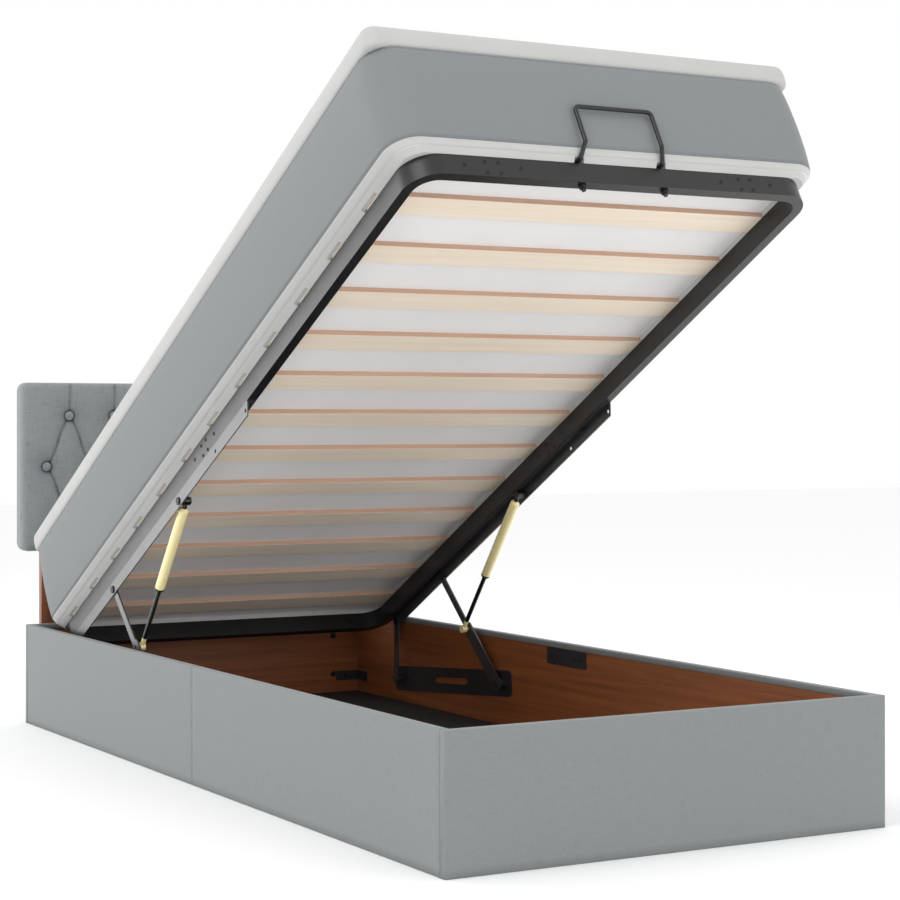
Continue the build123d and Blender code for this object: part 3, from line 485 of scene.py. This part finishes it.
def raisedRuns(start, end, spans, plain, raised):
    stations = [(start, plain)]
    for low, high in spans:
        stations += [(low - rim["slope"], plain), (low, raised), (high, raised), (high + rim["slope"], plain)]
    return stations + [(end, plain)]


plainSide, plainEnd = sideSection(rim["innerX"], rimLow), endSection(rimLow)
slatStarts = [slats["first"] + k * slats["pitch"] for k in range(slats["count"])]
sideRuns = raisedRuns(
    cornerV, farCornerV, [(start, start + slats["width"]) for start in slatStarts],
    plainSide, sideSection(rim["slatEnd"], rim["slatLift"]))
handleSpans = [(side * rim["handleX"] - rim["handleHalf"], side * rim["handleX"] + rim["handleHalf"]) for side in (-1, 1)]
footRuns = raisedRuns(-cornerX, cornerX, handleSpans, plainEnd, endSection(rim["handleLift"]))
turns = []
for step in range(rim["cornerSteps"] + 1):
    share = step / rim["cornerSteps"]
    section = [((x - cornerX) * (1 - share) + (cornerV - v) * share, n) for (x, n), (v, _) in zip(plainSide, plainEnd)]
    turns.append((share * pi / 2, section))
for side in (-1, 1):
    rimStrip(sideRuns, lambda a, r, n: fromDeck(side * a, r, n))
rimStrip(footRuns, lambda a, r, n: fromDeck(r, a, n))
rimStrip([(-cornerX, plainEnd), (cornerX, plainEnd)], lambda a, r, n: fromDeck(r, mattress["length"] - a, n))
for side in (-1, 1):
    for end, way in ((cornerV, -1), (farCornerV, 1)):
        rimStrip(turns, lambda a, r, n: fromDeck(side * (cornerX + a * cos(r)), end + way * a * sin(r), n))
# The rim is drawn in the band's ticking, with its painted shade
rimPiece = newPiece("mattressRim", points, faces, [paintedShadeBandTicking], cloth)
rimPiece.data.shade_flat()
outwardFaces(rimPiece)
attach(rimPiece, "platform")

topper = {
    "width": 0.898, "length": 1.9755, "corner": 0.024, "pitch": 0.03, "foot": 0.2091, "top": 0.2571, "round": 0.012,
    "crown": 0.003, "crownReach": 0.07, "soft": 0.0012, "softWaves": 3.1, "softReach": 0.08,
}


# The topper's crowned top, with soft uneven places a hand wide
def topperTop(x, v):
    edge = min(topper["width"] / 2 - abs(x), topper["length"] / 2 - abs(v))
    rise = topper["crown"] * (1 - exp(-edge / topper["crownReach"]))
    soft = topper["soft"] * noise.noise(Vector((x * topper["softWaves"], v * topper["softWaves"], 0.7)))
    return topper["top"] - topper["crown"] + rise + soft * min(1.0, edge / topper["softReach"])


low, high, curl = topper["foot"], topper["top"] - topper["crown"], topper["round"]
topperLevels = [
    (low, curl * 0.6), (low + 0.0015, curl * 0.28), (low + 0.005, curl * 0.08), (low + 0.012, 0.0), (low + 0.024, -0.0006),
    (high - curl, curl * 0.06), (high - curl * 0.6, curl * 0.2), (high - curl * 0.28, curl * 0.48),
    (high - curl * 0.06, curl * 0.82), (high, curl * 1.3),
]
points, faces, cloth, band = softSlab(topper, topperLevels, topperTop, onMattress)
topperPiece = newPiece("mattressTopper", points, faces, [paintedShadeTopperCloth], cloth)
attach(topperPiece, "platform")
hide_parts("mattress_topper")
print("bed: mattress and topper made")

# The fabric sleeves over the boards: outer face, rounded top edge and the fold inside
sleeve = {
    "panel": 0.018, "cloth": 0.0015, "height": 0.2355, "fold": 0.012, "edge": 0.0024, "pitch": 0.014, "hem": 0.0006,
    "boxEnd": 0.0165, "wave": 0.0005, "waveFade": 0.02, "alongWaves": 5.0, "upWaves": 7.0,
    "pull": 0.0007, "pullReach": 0.012,
}


# A sleeve's section as (inwards from the outer face, height) pairs, to be run along its board
def sleeveSection(innerOut):
    edge, height, panel = sleeve["edge"], sleeve["height"], sleeve["panel"]
    section = [(0.0, z) for z in np.linspace(0, height - edge, 15)]
    section += [(edge - x, height - edge + z) for x, z in arcPoints(edge, (22.5, 45, 67.5, 90))]
    section.append((panel / 2, height + 0.0001))
    section += [(panel - edge + x, height - edge + z) for x, z in arcPoints(edge, (90, 67.5, 45, 22.5, 0))]
    low = height - sleeve["fold"]
    return section + [(panel, low + 0.0007), (panel - sleeve["hem"], low), (innerOut, low), (innerOut, 0.0)]


# Stations are (run, how far the section is pulled in, whether it is closed across the board's end)
def boardSleeve(name, node, start, end, place, boxed, seed):
    edge, panel, height = sleeve["edge"], sleeve["panel"], sleeve["height"]
    inside = sleeveSection(sleeve["cloth"])
    closed = sleeveSection(panel - sleeve["hem"])
    stations = [(start + edge - x, edge - z, boxed) for x, z in arcPoints(edge, (0, 30, 60, 90))]
    if boxed:
        stations += [(start + sleeve["boxEnd"], 0.0, True), (start + sleeve["boxEnd"] + 0.0001, 0.0, False)]
    ends = [(start + end - run, pulled, full) for run, pulled, full in stations]
    inner = stations[-1][0]
    steps = max(4, int((end - start) / sleeve["pitch"]))
    stations += [(run, 0.0, False) for run in np.linspace(inner, start + end - inner, steps)[1:-1]] + ends[::-1]
    points, cloth = [], []
    for run, pulled, full in stations:
        section = closed if full else inside
        length, last = 0.0, section[0]
        for out, z in section:
            length += hypot(out - last[0], z - last[1])
            last = (out, z)
            newOut = min(max(out, pulled), panel - pulled)
            if out < 0.0001 and pulled == 0:
                gaps = [gap / sleeve["waveFade"] for gap in (z, height - z, run - start, end - run)]
                wave = noise.noise(Vector((run * sleeve["alongWaves"], z * sleeve["upWaves"], seed)))
                newOut -= min(1.0, *gaps) * sleeve["wave"] * wave
                newOut += sleeve["pull"] * (1 - min(1.0, z / sleeve["pullReach"])) ** 2
            points.append(place(newOut, run, min(z, height - pulled)))
            cloth.append((run, length))
    piece = newPiece(name, points, sweepFaces(0, len(inside), len(stations)), [panelCloth], cloth)
    outwardFaces(piece)
    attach(piece, "base")
    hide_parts(node)


footY, headY, halfBox = -1.042, 1.006, 0.450
for side, hand in ((-1, "left"), (1, "right")):
    for half, shift in (("foot", 5.0), ("head", 4.0)):
        node = f"{hand}_{half}_side_cover"
        low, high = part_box(node)
        boardSleeve(
            f"{hand}{half.capitalize()}Sleeve", node, low.y, high.y,
            lambda out, run, z: (side * (halfBox - out), run, z), False, 2.0 * side + shift)
boardSleeve("footBoardSleeve", "foot_board_cover", -halfBox, halfBox, lambda out, run, z: (run, footY + out, z), True, 9.0)
boardSleeve("headBoardSleeve", "head_board_cover", -halfBox, halfBox, lambda out, run, z: (run, headY - out, z), True, 12.0)
print("bed: board sleeves made")


# Geometry Nodes for what repeats. A tree has named inputs, and its result becomes a plain mesh.
def startTree(name, inputs):
    tree = bpy.data.node_groups.new(name, "GeometryNodeTree")
    tree.interface.new_socket("Geometry", in_out="INPUT", socket_type="NodeSocketGeometry")
    for label, kind in inputs.items():
        tree.interface.new_socket(label, in_out="INPUT", socket_type="NodeSocket" + kind)
    tree.interface.new_socket("Geometry", in_out="OUTPUT", socket_type="NodeSocketGeometry")
    return tree, addNode(tree, "NodeGroupInput").outputs


# Sets the instance on each point, turned where a rotation is given, and makes it real in its material
def setOut(tree, points, instance, material, rotation=None):
    links = {"Points": points, "Instance": instance}
    if rotation:
        links["Rotation"] = rotation
    placed = addNode(tree, "GeometryNodeInstanceOnPoints", links=links)
    real = addNode(tree, "GeometryNodeRealizeInstances", links={"Geometry": placed})
    return addNode(tree, "GeometryNodeSetMaterial", links={"Geometry": real, "Material": material})


def growPiece(name, tree, values, base=None, matrix=None, smooth=False):
    holder = linkPiece(name + "Holder", base or bpy.data.meshes.new(name + "Base"))
    modifier = holder.modifiers.new("grow", "NODES")
    modifier.node_group = tree
    for item in tree.interface.items_tree:
        if item.in_out == "INPUT" and item.name in values:
            modifier[item.identifier] = values[item.name]
    depsgraph = bpy.context.evaluated_depsgraph_get()
    mesh = bpy.data.meshes.new_from_object(
        holder.evaluated_get(depsgraph), preserve_all_data_layers=True, depsgraph=depsgraph)
    bpy.data.objects.remove(holder)
    if matrix is not None:
        mesh.transform(matrix)
    mesh.polygons.foreach_set("use_smooth", [smooth] * len(mesh.polygons))
    return linkPiece(name, mesh)


# One slat, with its corners rounded and its edges broken, to be set out by the tree
def slatBlank():
    shape = bmesh.new()
    outline = roundedOutline(slats["long"] / 2, slats["width"] / 2, slats["corner"], (0, 30, 60, 90))
    base = shape.faces.new([shape.verts.new((x, y, 0)) for x, y in outline])
    grown = bmesh.ops.extrude_face_region(shape, geom=[base])
    raised = [v for v in grown["geom"] if isinstance(v, bmesh.types.BMVert)]
    bmesh.ops.translate(shape, vec=(0, 0, slats["thick"]), verts=raised)
    bmesh.ops.recalc_face_normals(shape, faces=shape.faces)
    rims = [e for e in shape.edges if abs(e.verts[0].co.z - e.verts[1].co.z) < 1e-6]
    bmesh.ops.bevel(shape, geom=rims, offset=slats["edge"], segments=2, affect="EDGES", profile=0.5)
    mesh = bpy.data.meshes.new("slatBlank")
    shape.to_mesh(mesh)
    shape.free()
    return linkPiece("slatBlank", mesh)


# The faces that look along the bed are the sawn edges, with their glue lines
def slatTree():
    tree, given = startTree("slatRow", {
        "Slat": "Object", "Count": "Int", "Pitch": "Float", "First": "Float", "Face": "Material", "Edge": "Material"})
    start = addNode(tree, "ShaderNodeCombineXYZ", links={"Y": given["First"]})
    step = addNode(tree, "ShaderNodeCombineXYZ", links={"Y": given["Pitch"]})
    line = addNode(tree, "GeometryNodeMeshLine", {"mode": "OFFSET"}, {
        "Count": given["Count"], "Start Location": start, "Offset": step})
    blank = addNode(tree, "GeometryNodeObjectInfo", links={"Object": given["Slat"]})
    faced = setOut(tree, line, blank.outputs["Geometry"], given["Face"])
    normal = addNode(tree, "GeometryNodeInputNormal")
    facing = addNode(tree, "ShaderNodeSeparateXYZ", links={"Vector": normal})
    sideways = addNode(tree, "ShaderNodeMath", {"operation": "ABSOLUTE"}, {0: facing.outputs["Y"]})
    edgeFaces = addNode(tree, "FunctionNodeCompare", {"operation": "GREATER_THAN", 1: slats["edgeFacing"]}, {
        0: sideways})
    edged = addNode(tree, "GeometryNodeSetMaterial", links={
        "Geometry": faced, "Selection": edgeFaces, "Material": given["Edge"]})
    addNode(tree, "NodeGroupOutput", links={"Geometry": edged})
    return tree


blank = slatBlank()
deckTurn = Matrix.Translation((0, deck["y"], deck["z"])) @ Matrix.Rotation(radians(-deck["lift"]), 4, "X")
slatPiece = growPiece("birchSlats", slatTree(), {
    "Slat": blank, "Count": slats["count"], "Pitch": slats["pitch"], "First": slats["first"] + slats["width"] / 2,
    "Face": birchFace, "Edge": birchEdge}, matrix=deckTurn)
bpy.data.objects.remove(blank)
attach(slatPiece, "platform")
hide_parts(*[f"slat_{k + 1:02d}" for k in range(slats["count"])])
print("bed: slats made")

headFit = {"flat": 5e-5, "fewest": 8, "spare": 0.0004}  # what counts as a head's flat top in the CAD mesh


# Finds the head of each CAD fastener: every separate solid with a flat round end of this radius
def headSpots(head):
    mesh = cadNodes[head["node"]].data
    corners = np.empty(len(mesh.vertices) * 3)
    mesh.vertices.foreach_get("co", corners)
    keys, which = np.unique(np.round(corners.reshape(-1, 3), 5), axis=0, return_inverse=True)
    which = which.ravel()
    parent = list(range(len(keys)))

    def rootOf(k):
        while parent[k] != k:
            parent[k] = parent[parent[k]]
            k = parent[k]
        return k

    for face in mesh.polygons:
        first = rootOf(which[face.vertices[0]])
        for vertex in face.vertices[1:]:
            parent[rootOf(which[vertex])] = first
    roots = np.array([rootOf(k) for k in range(len(keys))])
    spots = []
    for root in np.unique(roots):
        solid = keys[roots == root]
        for way in head["ways"]:
            reach = solid @ np.array(way)
            end = solid[reach > reach.max() - headFit["flat"]]
            centre = (end.max(axis=0) + end.min(axis=0)) / 2
            radius = np.linalg.norm(end - centre, axis=1).max()
            if len(end) >= headFit["fewest"] and abs(radius - head["radius"]) < headFit["spare"]:
                spots.append((Vector(centre) - Vector(way) * head["height"], way))
    return spots


# A low pan head with a six-sided socket, its top 72% as wide as its foot
def headTree():
    tree, given = startTree("socketHeads", {"Radius": "Float", "Height": "Float", "Socket": "Float", "Coat": "Material"})
    crown = addNode(tree, "ShaderNodeMath", {"operation": "MULTIPLY", 1: 0.72}, {0: given["Radius"]})
    head = addNode(tree, "GeometryNodeMeshCone", {"Vertices": 16, "Side Segments": 1}, {
        "Radius Top": crown, "Radius Bottom": given["Radius"], "Depth": given["Height"]})
    socket = addNode(tree, "GeometryNodeMeshCylinder", {"Vertices": 6}, {
        "Radius": given["Socket"], "Depth": given["Height"]})
    up = addNode(tree, "ShaderNodeCombineXYZ", links={"Z": given["Height"]})
    lifted = addNode(tree, "GeometryNodeTransform", links={"Geometry": socket, "Translation": up})
    cut = addNode(tree, "GeometryNodeMeshBoolean", {"operation": "DIFFERENCE"}, {"Mesh 1": head, "Mesh 2": lifted})
    out = addNode(tree, "GeometryNodeInputNamedAttribute", {"data_type": "FLOAT_VECTOR", "Name": "out"})
    turned = addNode(tree, "FunctionNodeAlignRotationToVector", {"axis": "Z"}, {"Vector": out})
    coated = setOut(tree, given["Geometry"], cut, given["Coat"], turned)
    addNode(tree, "NodeGroupOutput", links={"Geometry": coated})
    return tree


def spotMesh(name, spots):
    mesh = bpy.data.meshes.new(name)
    mesh.from_pydata([tuple(place) for place, _ in spots], [], [])
    out = mesh.attributes.new("out", "FLOAT_VECTOR", "POINT")
    out.data.foreach_set("vector", [c for _, way in spots for c in way])
    return mesh


# Each kind's head radius and height, and the ways that its heads can look
upDeck, downDeck, underDeck = (0, deckCos, -deckSin), (0, -deckCos, deckSin), (0, -deckSin, -deckCos)
left, right, toHead, toFoot = (-1, 0, 0), (1, 0, 0), (0, 1, 0), (0, -1, 0)
heads = {
    "panelScrewHeads": {
        "node": "panel_screws", "radius": 0.0045, "height": 0.002, "ways": [right, left, toHead, toFoot], "body": "base"},
    "headboardBoltHeads": {
        "node": "headboard_bolts", "radius": 0.008, "height": 0.004, "ways": [toFoot], "body": "base"},
    "seamBoltHeads": {
        "node": "frame_fasteners", "radius": 0.004, "height": 0.0014, "ways": [right, left, upDeck, downDeck],
        "body": "platform"},
    "railScrewHeads": {
        "node": "frame_fasteners", "radius": 0.0045, "height": 0.002, "ways": [underDeck], "body": "platform"},
}
socketHeads = headTree()
for name, head in heads.items():
    spots = headSpots(head)
    print("bed:", name, len(spots))
    piece = growPiece(name, socketHeads, {
        "Radius": head["radius"], "Height": head["height"], "Socket": head["radius"] * 0.45, "Coat": screwCoat},
        base=spotMesh(name, spots))
    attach(piece, head["body"])
    if name != "railScrewHeads":
        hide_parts(head["node"])

# The lift handle's two nuts under the foot crossbar, six-sided with their corners turned down
nut = {
    "across": 0.013, "height": 0.006, "chamfer": 0.0009, "top": 0.93, "hole": 0.00405, "x": 0.086, "v": 0.025, "n": -0.040,
}
sixTurns = [60 * k for k in range(6)]
shape = bmesh.new()
for side in (-1, 1):
    rings = []
    for share, drop in (
            (nut["top"], 0.0), (1.0, nut["chamfer"]), (1.0, nut["height"] - nut["chamfer"]), (nut["top"], nut["height"])):
        rings.append([(x, y, -drop) for x, y in arcPoints(nut["across"] / sqrt(3) * share, sixTurns)])
    for drop in (nut["height"], 0.0):
        rings.append([(x, y, -drop) for x, y in arcPoints(nut["hole"], sixTurns)])
    loops = [
        [shape.verts.new(fromDeck(side * nut["x"] + x, nut["v"] + y, nut["n"] + z)) for x, y, z in ring] for ring in rings]
    for a, b in zip(loops, loops[1:] + loops[:1]):
        for k in range(6):
            shape.faces.new((a[k], a[(k + 1) % 6], b[(k + 1) % 6], b[k]))
bmesh.ops.recalc_face_normals(shape, faces=shape.faces)
nutMesh = bpy.data.meshes.new("handleNuts")
shape.to_mesh(nutMesh)
shape.free()
nutMesh.materials.append(screwCoat)
nutPiece = linkPiece("handleNuts", nutMesh)
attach(nutPiece, "platform")
print("bed: screws, bolts and nuts made")

# The tufted headboard: buttons in three staggered rows, with pleats folded between them.
# A reach is how far from a button or a pleat its dimple, fold or painted shade dies away.
pad = {
    "width": 0.922, "bottom": 0.410, "height": 0.405, "front": 0.996, "corner": 0.020, "round": 0.012, "pitch": 0.0026,
    "cornerSteps": 6, "buttonPitch": 0.11371, "buttonRise": 0.12285, "rows": 3, "across": 7,
    "dimple": 0.0105, "dimpleReach": 0.019, "dimplePower": 1.3, "pleat": 0.0078, "pleatReach": 0.0046, "pleatBend": 0.0035,
    "puff": 0.0036, "puffReach": 0.028, "deepest": 0.0092, "both": 0.35,
    "creaseShadeReach": 0.0020, "topCreaseShade": 0.45, "shadeRingRadius": 0.0112, "shadeRingReach": 0.0034, "pitShade": 0.3, "pitShadeReach": 0.03,
    "bulge": 0.0027, "bulgeReach": 0.05, "edgeReach": 0.01, "edgeShare": 0.35, "dip": 0.003, "dipReach": 0.03,
}
padMiddle = pad["bottom"] + pad["height"] / 2
buttonSpots = []
for row in range(pad["rows"]):
    count = pad["across"] + row % 2
    for place in range(count):
        x = (place - (count - 1) / 2) * pad["buttonPitch"]
        buttonSpots.append((x, padMiddle + (1 - row) * pad["buttonRise"]))
topRow = max(z for _, z in buttonSpots)
pleatRuns = []
for x, z in buttonSpots:
    if abs(z - padMiddle) > 0.01:
        for step in (-0.5, 0.5):
            pleatRuns.append(((x, z), (x + step * pad["buttonPitch"], padMiddle)))
        pleatRuns.append(((x, z), (x, z + copysign(pad["height"], z - padMiddle))))


# How deep the cloth lies at each place, and how much painted shade goes into the cloth's colour along the pleats'
# creases and round the buttons
def tuftDepth(x, z):
    button = np.minimum.reduce([np.hypot(x - bx, z - bz) for bx, bz in buttonSpots])
    pleat = np.full(x.shape, 9.0)
    for (ax, az), (cx, cz) in pleatRuns:
        run = np.array([cx - ax, cz - az])
        share = np.clip(((x - ax) * run[0] + (z - az) * run[1]) / (run @ run), 0, 1)
        bend = pad["pleatBend"] * np.sin(share * pi * 2) * (1 if cx >= ax else -1)
        pleat = np.minimum(pleat, np.hypot(x - ax - run[0] * share - bend, z - az - run[1] * share))
    fold = pad["pleat"] * np.exp(-pleat / pad["pleatReach"])
    pit = pad["dimple"] * np.exp(-(button / pad["dimpleReach"]) ** pad["dimplePower"])
    puff = pad["puff"] * np.exp(-np.minimum(pleat, button) / pad["puffReach"])
    deep = np.maximum(fold, pit) + pad["both"] * np.minimum(fold, pit) + puff
    # Painted shade along each pleat's crease, weaker above the top row, in a ring round each button and over each
    # dimple
    shade = np.exp(-pleat / pad["creaseShadeReach"]) * np.where(z > topRow, pad["topCreaseShade"], 1.0)
    shade += np.exp(-np.abs(button - pad["shadeRingRadius"]) / pad["shadeRingReach"])
    shade += pad["pitShade"] * np.exp(-button / pad["pitShadeReach"])
    return pad["deepest"] * np.tanh(deep / pad["deepest"]), np.clip(shade, 0, 1)


# The cloth goes on over an edge by as much as it lies behind the front
def wrapped(at, half, depthIn):
    return at + copysign(depthIn, at) if abs(at) > half - 0.001 else at


halfX, halfZ, padCorner = pad["width"] / 2, pad["height"] / 2, pad["corner"]
gridX, gridZ = gridPlaces((halfX, halfZ), padCorner, pad["cornerSteps"], pad["pitch"])
placeX, placeZ = roundedPlace(gridX, gridZ, halfX, halfZ, padCorner)
outX = np.abs(placeX) - (halfX - padCorner)
outZ = np.abs(placeZ) - (halfZ - padCorner)
straightGap = np.minimum(halfX - np.abs(placeX), halfZ - np.abs(placeZ))
edgeGap = np.maximum(np.where((outX > 0) & (outZ > 0), padCorner - np.hypot(outX, outZ), straightGap), 0)
edgeTurn = np.clip(1 - edgeGap / pad["round"], 0, 1)
edgeDrop = pad["round"] * (1 - np.sqrt(np.maximum(1 - edgeTurn ** 2, 0)))
depth, shade = tuftDepth(placeX, placeZ + padMiddle)
bulge = pad["bulge"] * (1 - np.clip(edgeGap / pad["bulgeReach"], 0, 1)) ** 2
tufted = depth * np.clip(edgeGap / pad["edgeReach"], pad["edgeShare"], 1)
frontY = pad["front"] + edgeDrop + bulge + tufted
ids = np.arange(gridX.size).reshape(gridX.shape)
points = list(zip(placeX.ravel(), frontY.ravel(), placeZ.ravel() + padMiddle))
cloth = list(zip(placeX.ravel(), placeZ.ravel()))
faces = gridFaces(ids)
border = gridBorder(*gridX.shape)
loop = [ids[i, j] for i, j in border]
sideSteps = [  # rings behind the front: how far behind, and how much wider than the front; the last two are the turned hem
    (0.0125, 0.0), (0.020, 0.0), (0.030, 0.0), (0.040, 0.0), (0.044, -0.0008), (0.0457, -0.0026), (0.046, -0.006),
    (0.046, -0.0137), (0.0278, -0.0139),
]
for depthIn, grow in sideSteps:
    nextLoop = []
    for i, j in border:
        px, pz = placeX[i, j], placeZ[i, j]
        sideX, sideZ = px * (halfX + grow) / halfX, pz * (halfZ + grow) / halfZ
        if abs(pz) > halfZ - 0.001:
            dip = depth[i, j] * pad["both"] * max(0.0, 1 - depthIn / pad["dipReach"])
            sideZ -= copysign(min(dip, pad["dip"]), pz)
        behind = max(depthIn, frontY[i, j] - pad["front"] + 0.0002) if depthIn < 0.02 else depthIn
        nextLoop.append(len(points))
        points.append((sideX, pad["front"] + behind, sideZ + padMiddle))
        cloth.append((wrapped(px, halfX, depthIn), wrapped(pz, halfZ, depthIn)))
    for step in range(len(border)):
        after = (step + 1) % len(border)
        faces.append((loop[after], loop[step], nextLoop[step], nextLoop[after]))
    loop = nextLoop
faces.append(tuple(loop[::-1]))
headboardPiece = newPiece("tuftedHeadboard", points, faces, [headboardCloth], cloth)
# The painted shade goes onto the front's points as the fold attribute, which darkens the cloth's colour
paintedFoldShade = headboardPiece.data.attributes.new("fold", "FLOAT", "POINT")
paintedFoldShade.data.foreach_set("value", np.concatenate([shade.ravel(), np.zeros(len(points) - shade.size)]).astype(np.float32))
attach(headboardPiece, "base")
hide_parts("headboard")


# Fabric-covered buttons: a low dome, pulled into each dimple
def buttonTree():
    tree, given = startTree("coveredButtons", {"Radius": "Float", "Rise": "Float", "Cloth": "Material"})
    dome = addNode(tree, "GeometryNodeMeshUVSphere", {"Segments": 24, "Rings": 14}, {"Radius": given["Radius"]})
    flat = addNode(tree, "ShaderNodeCombineXYZ", {"X": 1.0, "Z": 1.0}, {"Y": given["Rise"]})
    pressed = addNode(tree, "GeometryNodeTransform", links={"Geometry": dome, "Scale": flat})
    dressed = setOut(tree, given["Geometry"], pressed, given["Cloth"])
    addNode(tree, "NodeGroupOutput", links={"Geometry": dressed})
    return tree


button = {"radius": 0.011, "rise": 0.46, "deep": 0.0082}
buttonMesh = bpy.data.meshes.new("buttonSpots")
buttonMesh.from_pydata([(x, pad["front"] + button["deep"], z) for x, z in buttonSpots], [], [])
buttonPiece = growPiece(
    "coveredButtons", buttonTree(), {"Radius": button["radius"], "Rise": button["rise"], "Cloth": buttonCloth},
    base=buttonMesh, smooth=True)
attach(buttonPiece, "base")
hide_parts("headboard_buttons")
print("bed: headboard made")


# Seam thread: one stitch every few millimetres round a closed line on the mattress
def stitchTree():
    tree, given = startTree("seamStitches", {"Pitch": "Float", "Thick": "Float", "Long": "Float", "Thread": "Material"})
    line = addNode(tree, "GeometryNodeMeshToCurve", links={"Mesh": given["Geometry"]})
    even = addNode(tree, "GeometryNodeCurveToPoints", {"mode": "LENGTH"}, {"Curve": line, "Length": given["Pitch"]})
    bead = addNode(tree, "GeometryNodeMeshUVSphere", {"Segments": 6, "Rings": 4, "Radius": 1.0})
    size = addNode(tree, "ShaderNodeCombineXYZ", links={"X": given["Thick"], "Y": given["Thick"], "Z": given["Long"]})
    shaped = addNode(tree, "GeometryNodeTransform", links={"Geometry": bead, "Scale": size})
    threaded = setOut(tree, even, shaped, given["Thread"], even.outputs["Rotation"])
    addNode(tree, "NodeGroupOutput", links={"Geometry": threaded})
    return tree


stitch = {"pitch": 0.006, "thick": 0.0005, "long": 0.0018, "offSeam": 0.0038}
bandLine = seam - stitch["offSeam"]
seamLines = {  # height, inset at the sides and the ends, thread
    "bandStitches": (bandLine, bevelAt(bandLine)[1], bevelAt(bandLine)[1] * 0.5, paintedShadeBandTicking),
    "borderStitches": (seam + stitch["offSeam"], 0.0001, 0.0001, borderThread),
    "topStitches": (top - stitch["offSeam"], -0.0001, -0.0001, borderThread),
}
seamStitches = stitchTree()
for name, (n, insetX, insetV, thread) in seamLines.items():
    outline = roundedOutline(
        halfWidth - insetX, mattressMiddle - insetV, mattress["corner"] - insetX, range(0, 91, 10))
    lineMesh = bpy.data.meshes.new(name)
    lineMesh.from_pydata(
        [onMattress(x, v, n) for x, v in outline], [(k, (k + 1) % len(outline)) for k in range(len(outline))], [])
    piece = growPiece(name, seamStitches, {
        "Pitch": stitch["pitch"], "Thick": stitch["thick"], "Long": stitch["long"], "Thread": thread},
        base=lineMesh, smooth=True)
    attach(piece, "platform")
print("bed: seams stitched")

# Soft studio light over a pale floor, and the camera of the photograph
studio = {
    "floor": 14.0, "floorDrop": 0.0005, "sky": 1.0,
    "boxes": {
        "keyBox": {"spot": (-3.0, -1.2, 4.2), "aim": (0, 0, 0.6), "size": (2.6, 2.0), "watts": 56},
        "fillBox": {"spot": (1.0, -4.4, 0.8), "aim": (0, 0.2, 0.5), "size": (2.4, 2.0), "watts": 20},
        "lowBox": {"spot": (2.4, -0.6, 0.55), "aim": (0, 0.7, 0.4), "size": (1.8, 0.5), "watts": 14},
        "backBox": {"spot": (-2.9, 3.9, 1.3), "aim": (-0.4, -0.3, 0.8), "size": (3.4, 2.6), "watts": 56},
    },
    "lens": 86.548, "shift": -0.03278, "cameraSpot": (-2.1244, -4.0091, 0.7239), "cameraTurn": -29.563,
}
floorPiece = newPiece("studioFloor", [
    (sx * studio["floor"], sy * studio["floor"], -studio["floorDrop"]) for sx, sy in ((-1, -1), (1, -1), (1, 1), (-1, 1))],
    [(0, 1, 2, 3)], [])
floorPaint, floorTree = startMaterial("paleFloor")
floorShader = addNode(floorTree, "ShaderNodeBsdfPrincipled", {
    "Base Color": hexColour("FAFAFA"), "Roughness": 0.9, "Specular IOR Level": 0.1})
addNode(floorTree, "ShaderNodeOutputMaterial", links={"Surface": floorShader})
floorPiece.data.materials.append(floorPaint)
world = bpy.data.worlds.new("studioSky")
bpy.context.scene.world = world
world.use_nodes = True
skyLight = world.node_tree.nodes["Background"].inputs
skyLight["Color"].default_value = (1, 1, 1, 1)
skyLight["Strength"].default_value = studio["sky"]
for name, box in studio["boxes"].items():
    light = bpy.data.lights.new(name, "AREA")
    light.shape = "RECTANGLE"
    light.size, light.size_y = box["size"]
    light.energy = box["watts"]
    lamp = linkPiece(name, light)
    lamp.location = box["spot"]
    lamp.visible_camera = False
    lamp.rotation_euler = (Vector(box["aim"]) - Vector(box["spot"])).to_track_quat("-Z", "Y").to_euler()

camera = bpy.data.cameras.new("photoCamera")
camera.lens, camera.sensor_width, camera.shift_y = studio["lens"], 36, studio["shift"]
camera.clip_start, camera.clip_end = 0.05, 100
cameraPiece = linkPiece("photoCamera", camera)
cameraPiece.location = studio["cameraSpot"]
cameraPiece.rotation_euler = (radians(90), 0, radians(studio["cameraTurn"]))
bpy.context.scene.camera = cameraPiece
bpy.context.scene.view_settings.view_transform = "Standard"
print("bed: studio and camera set")
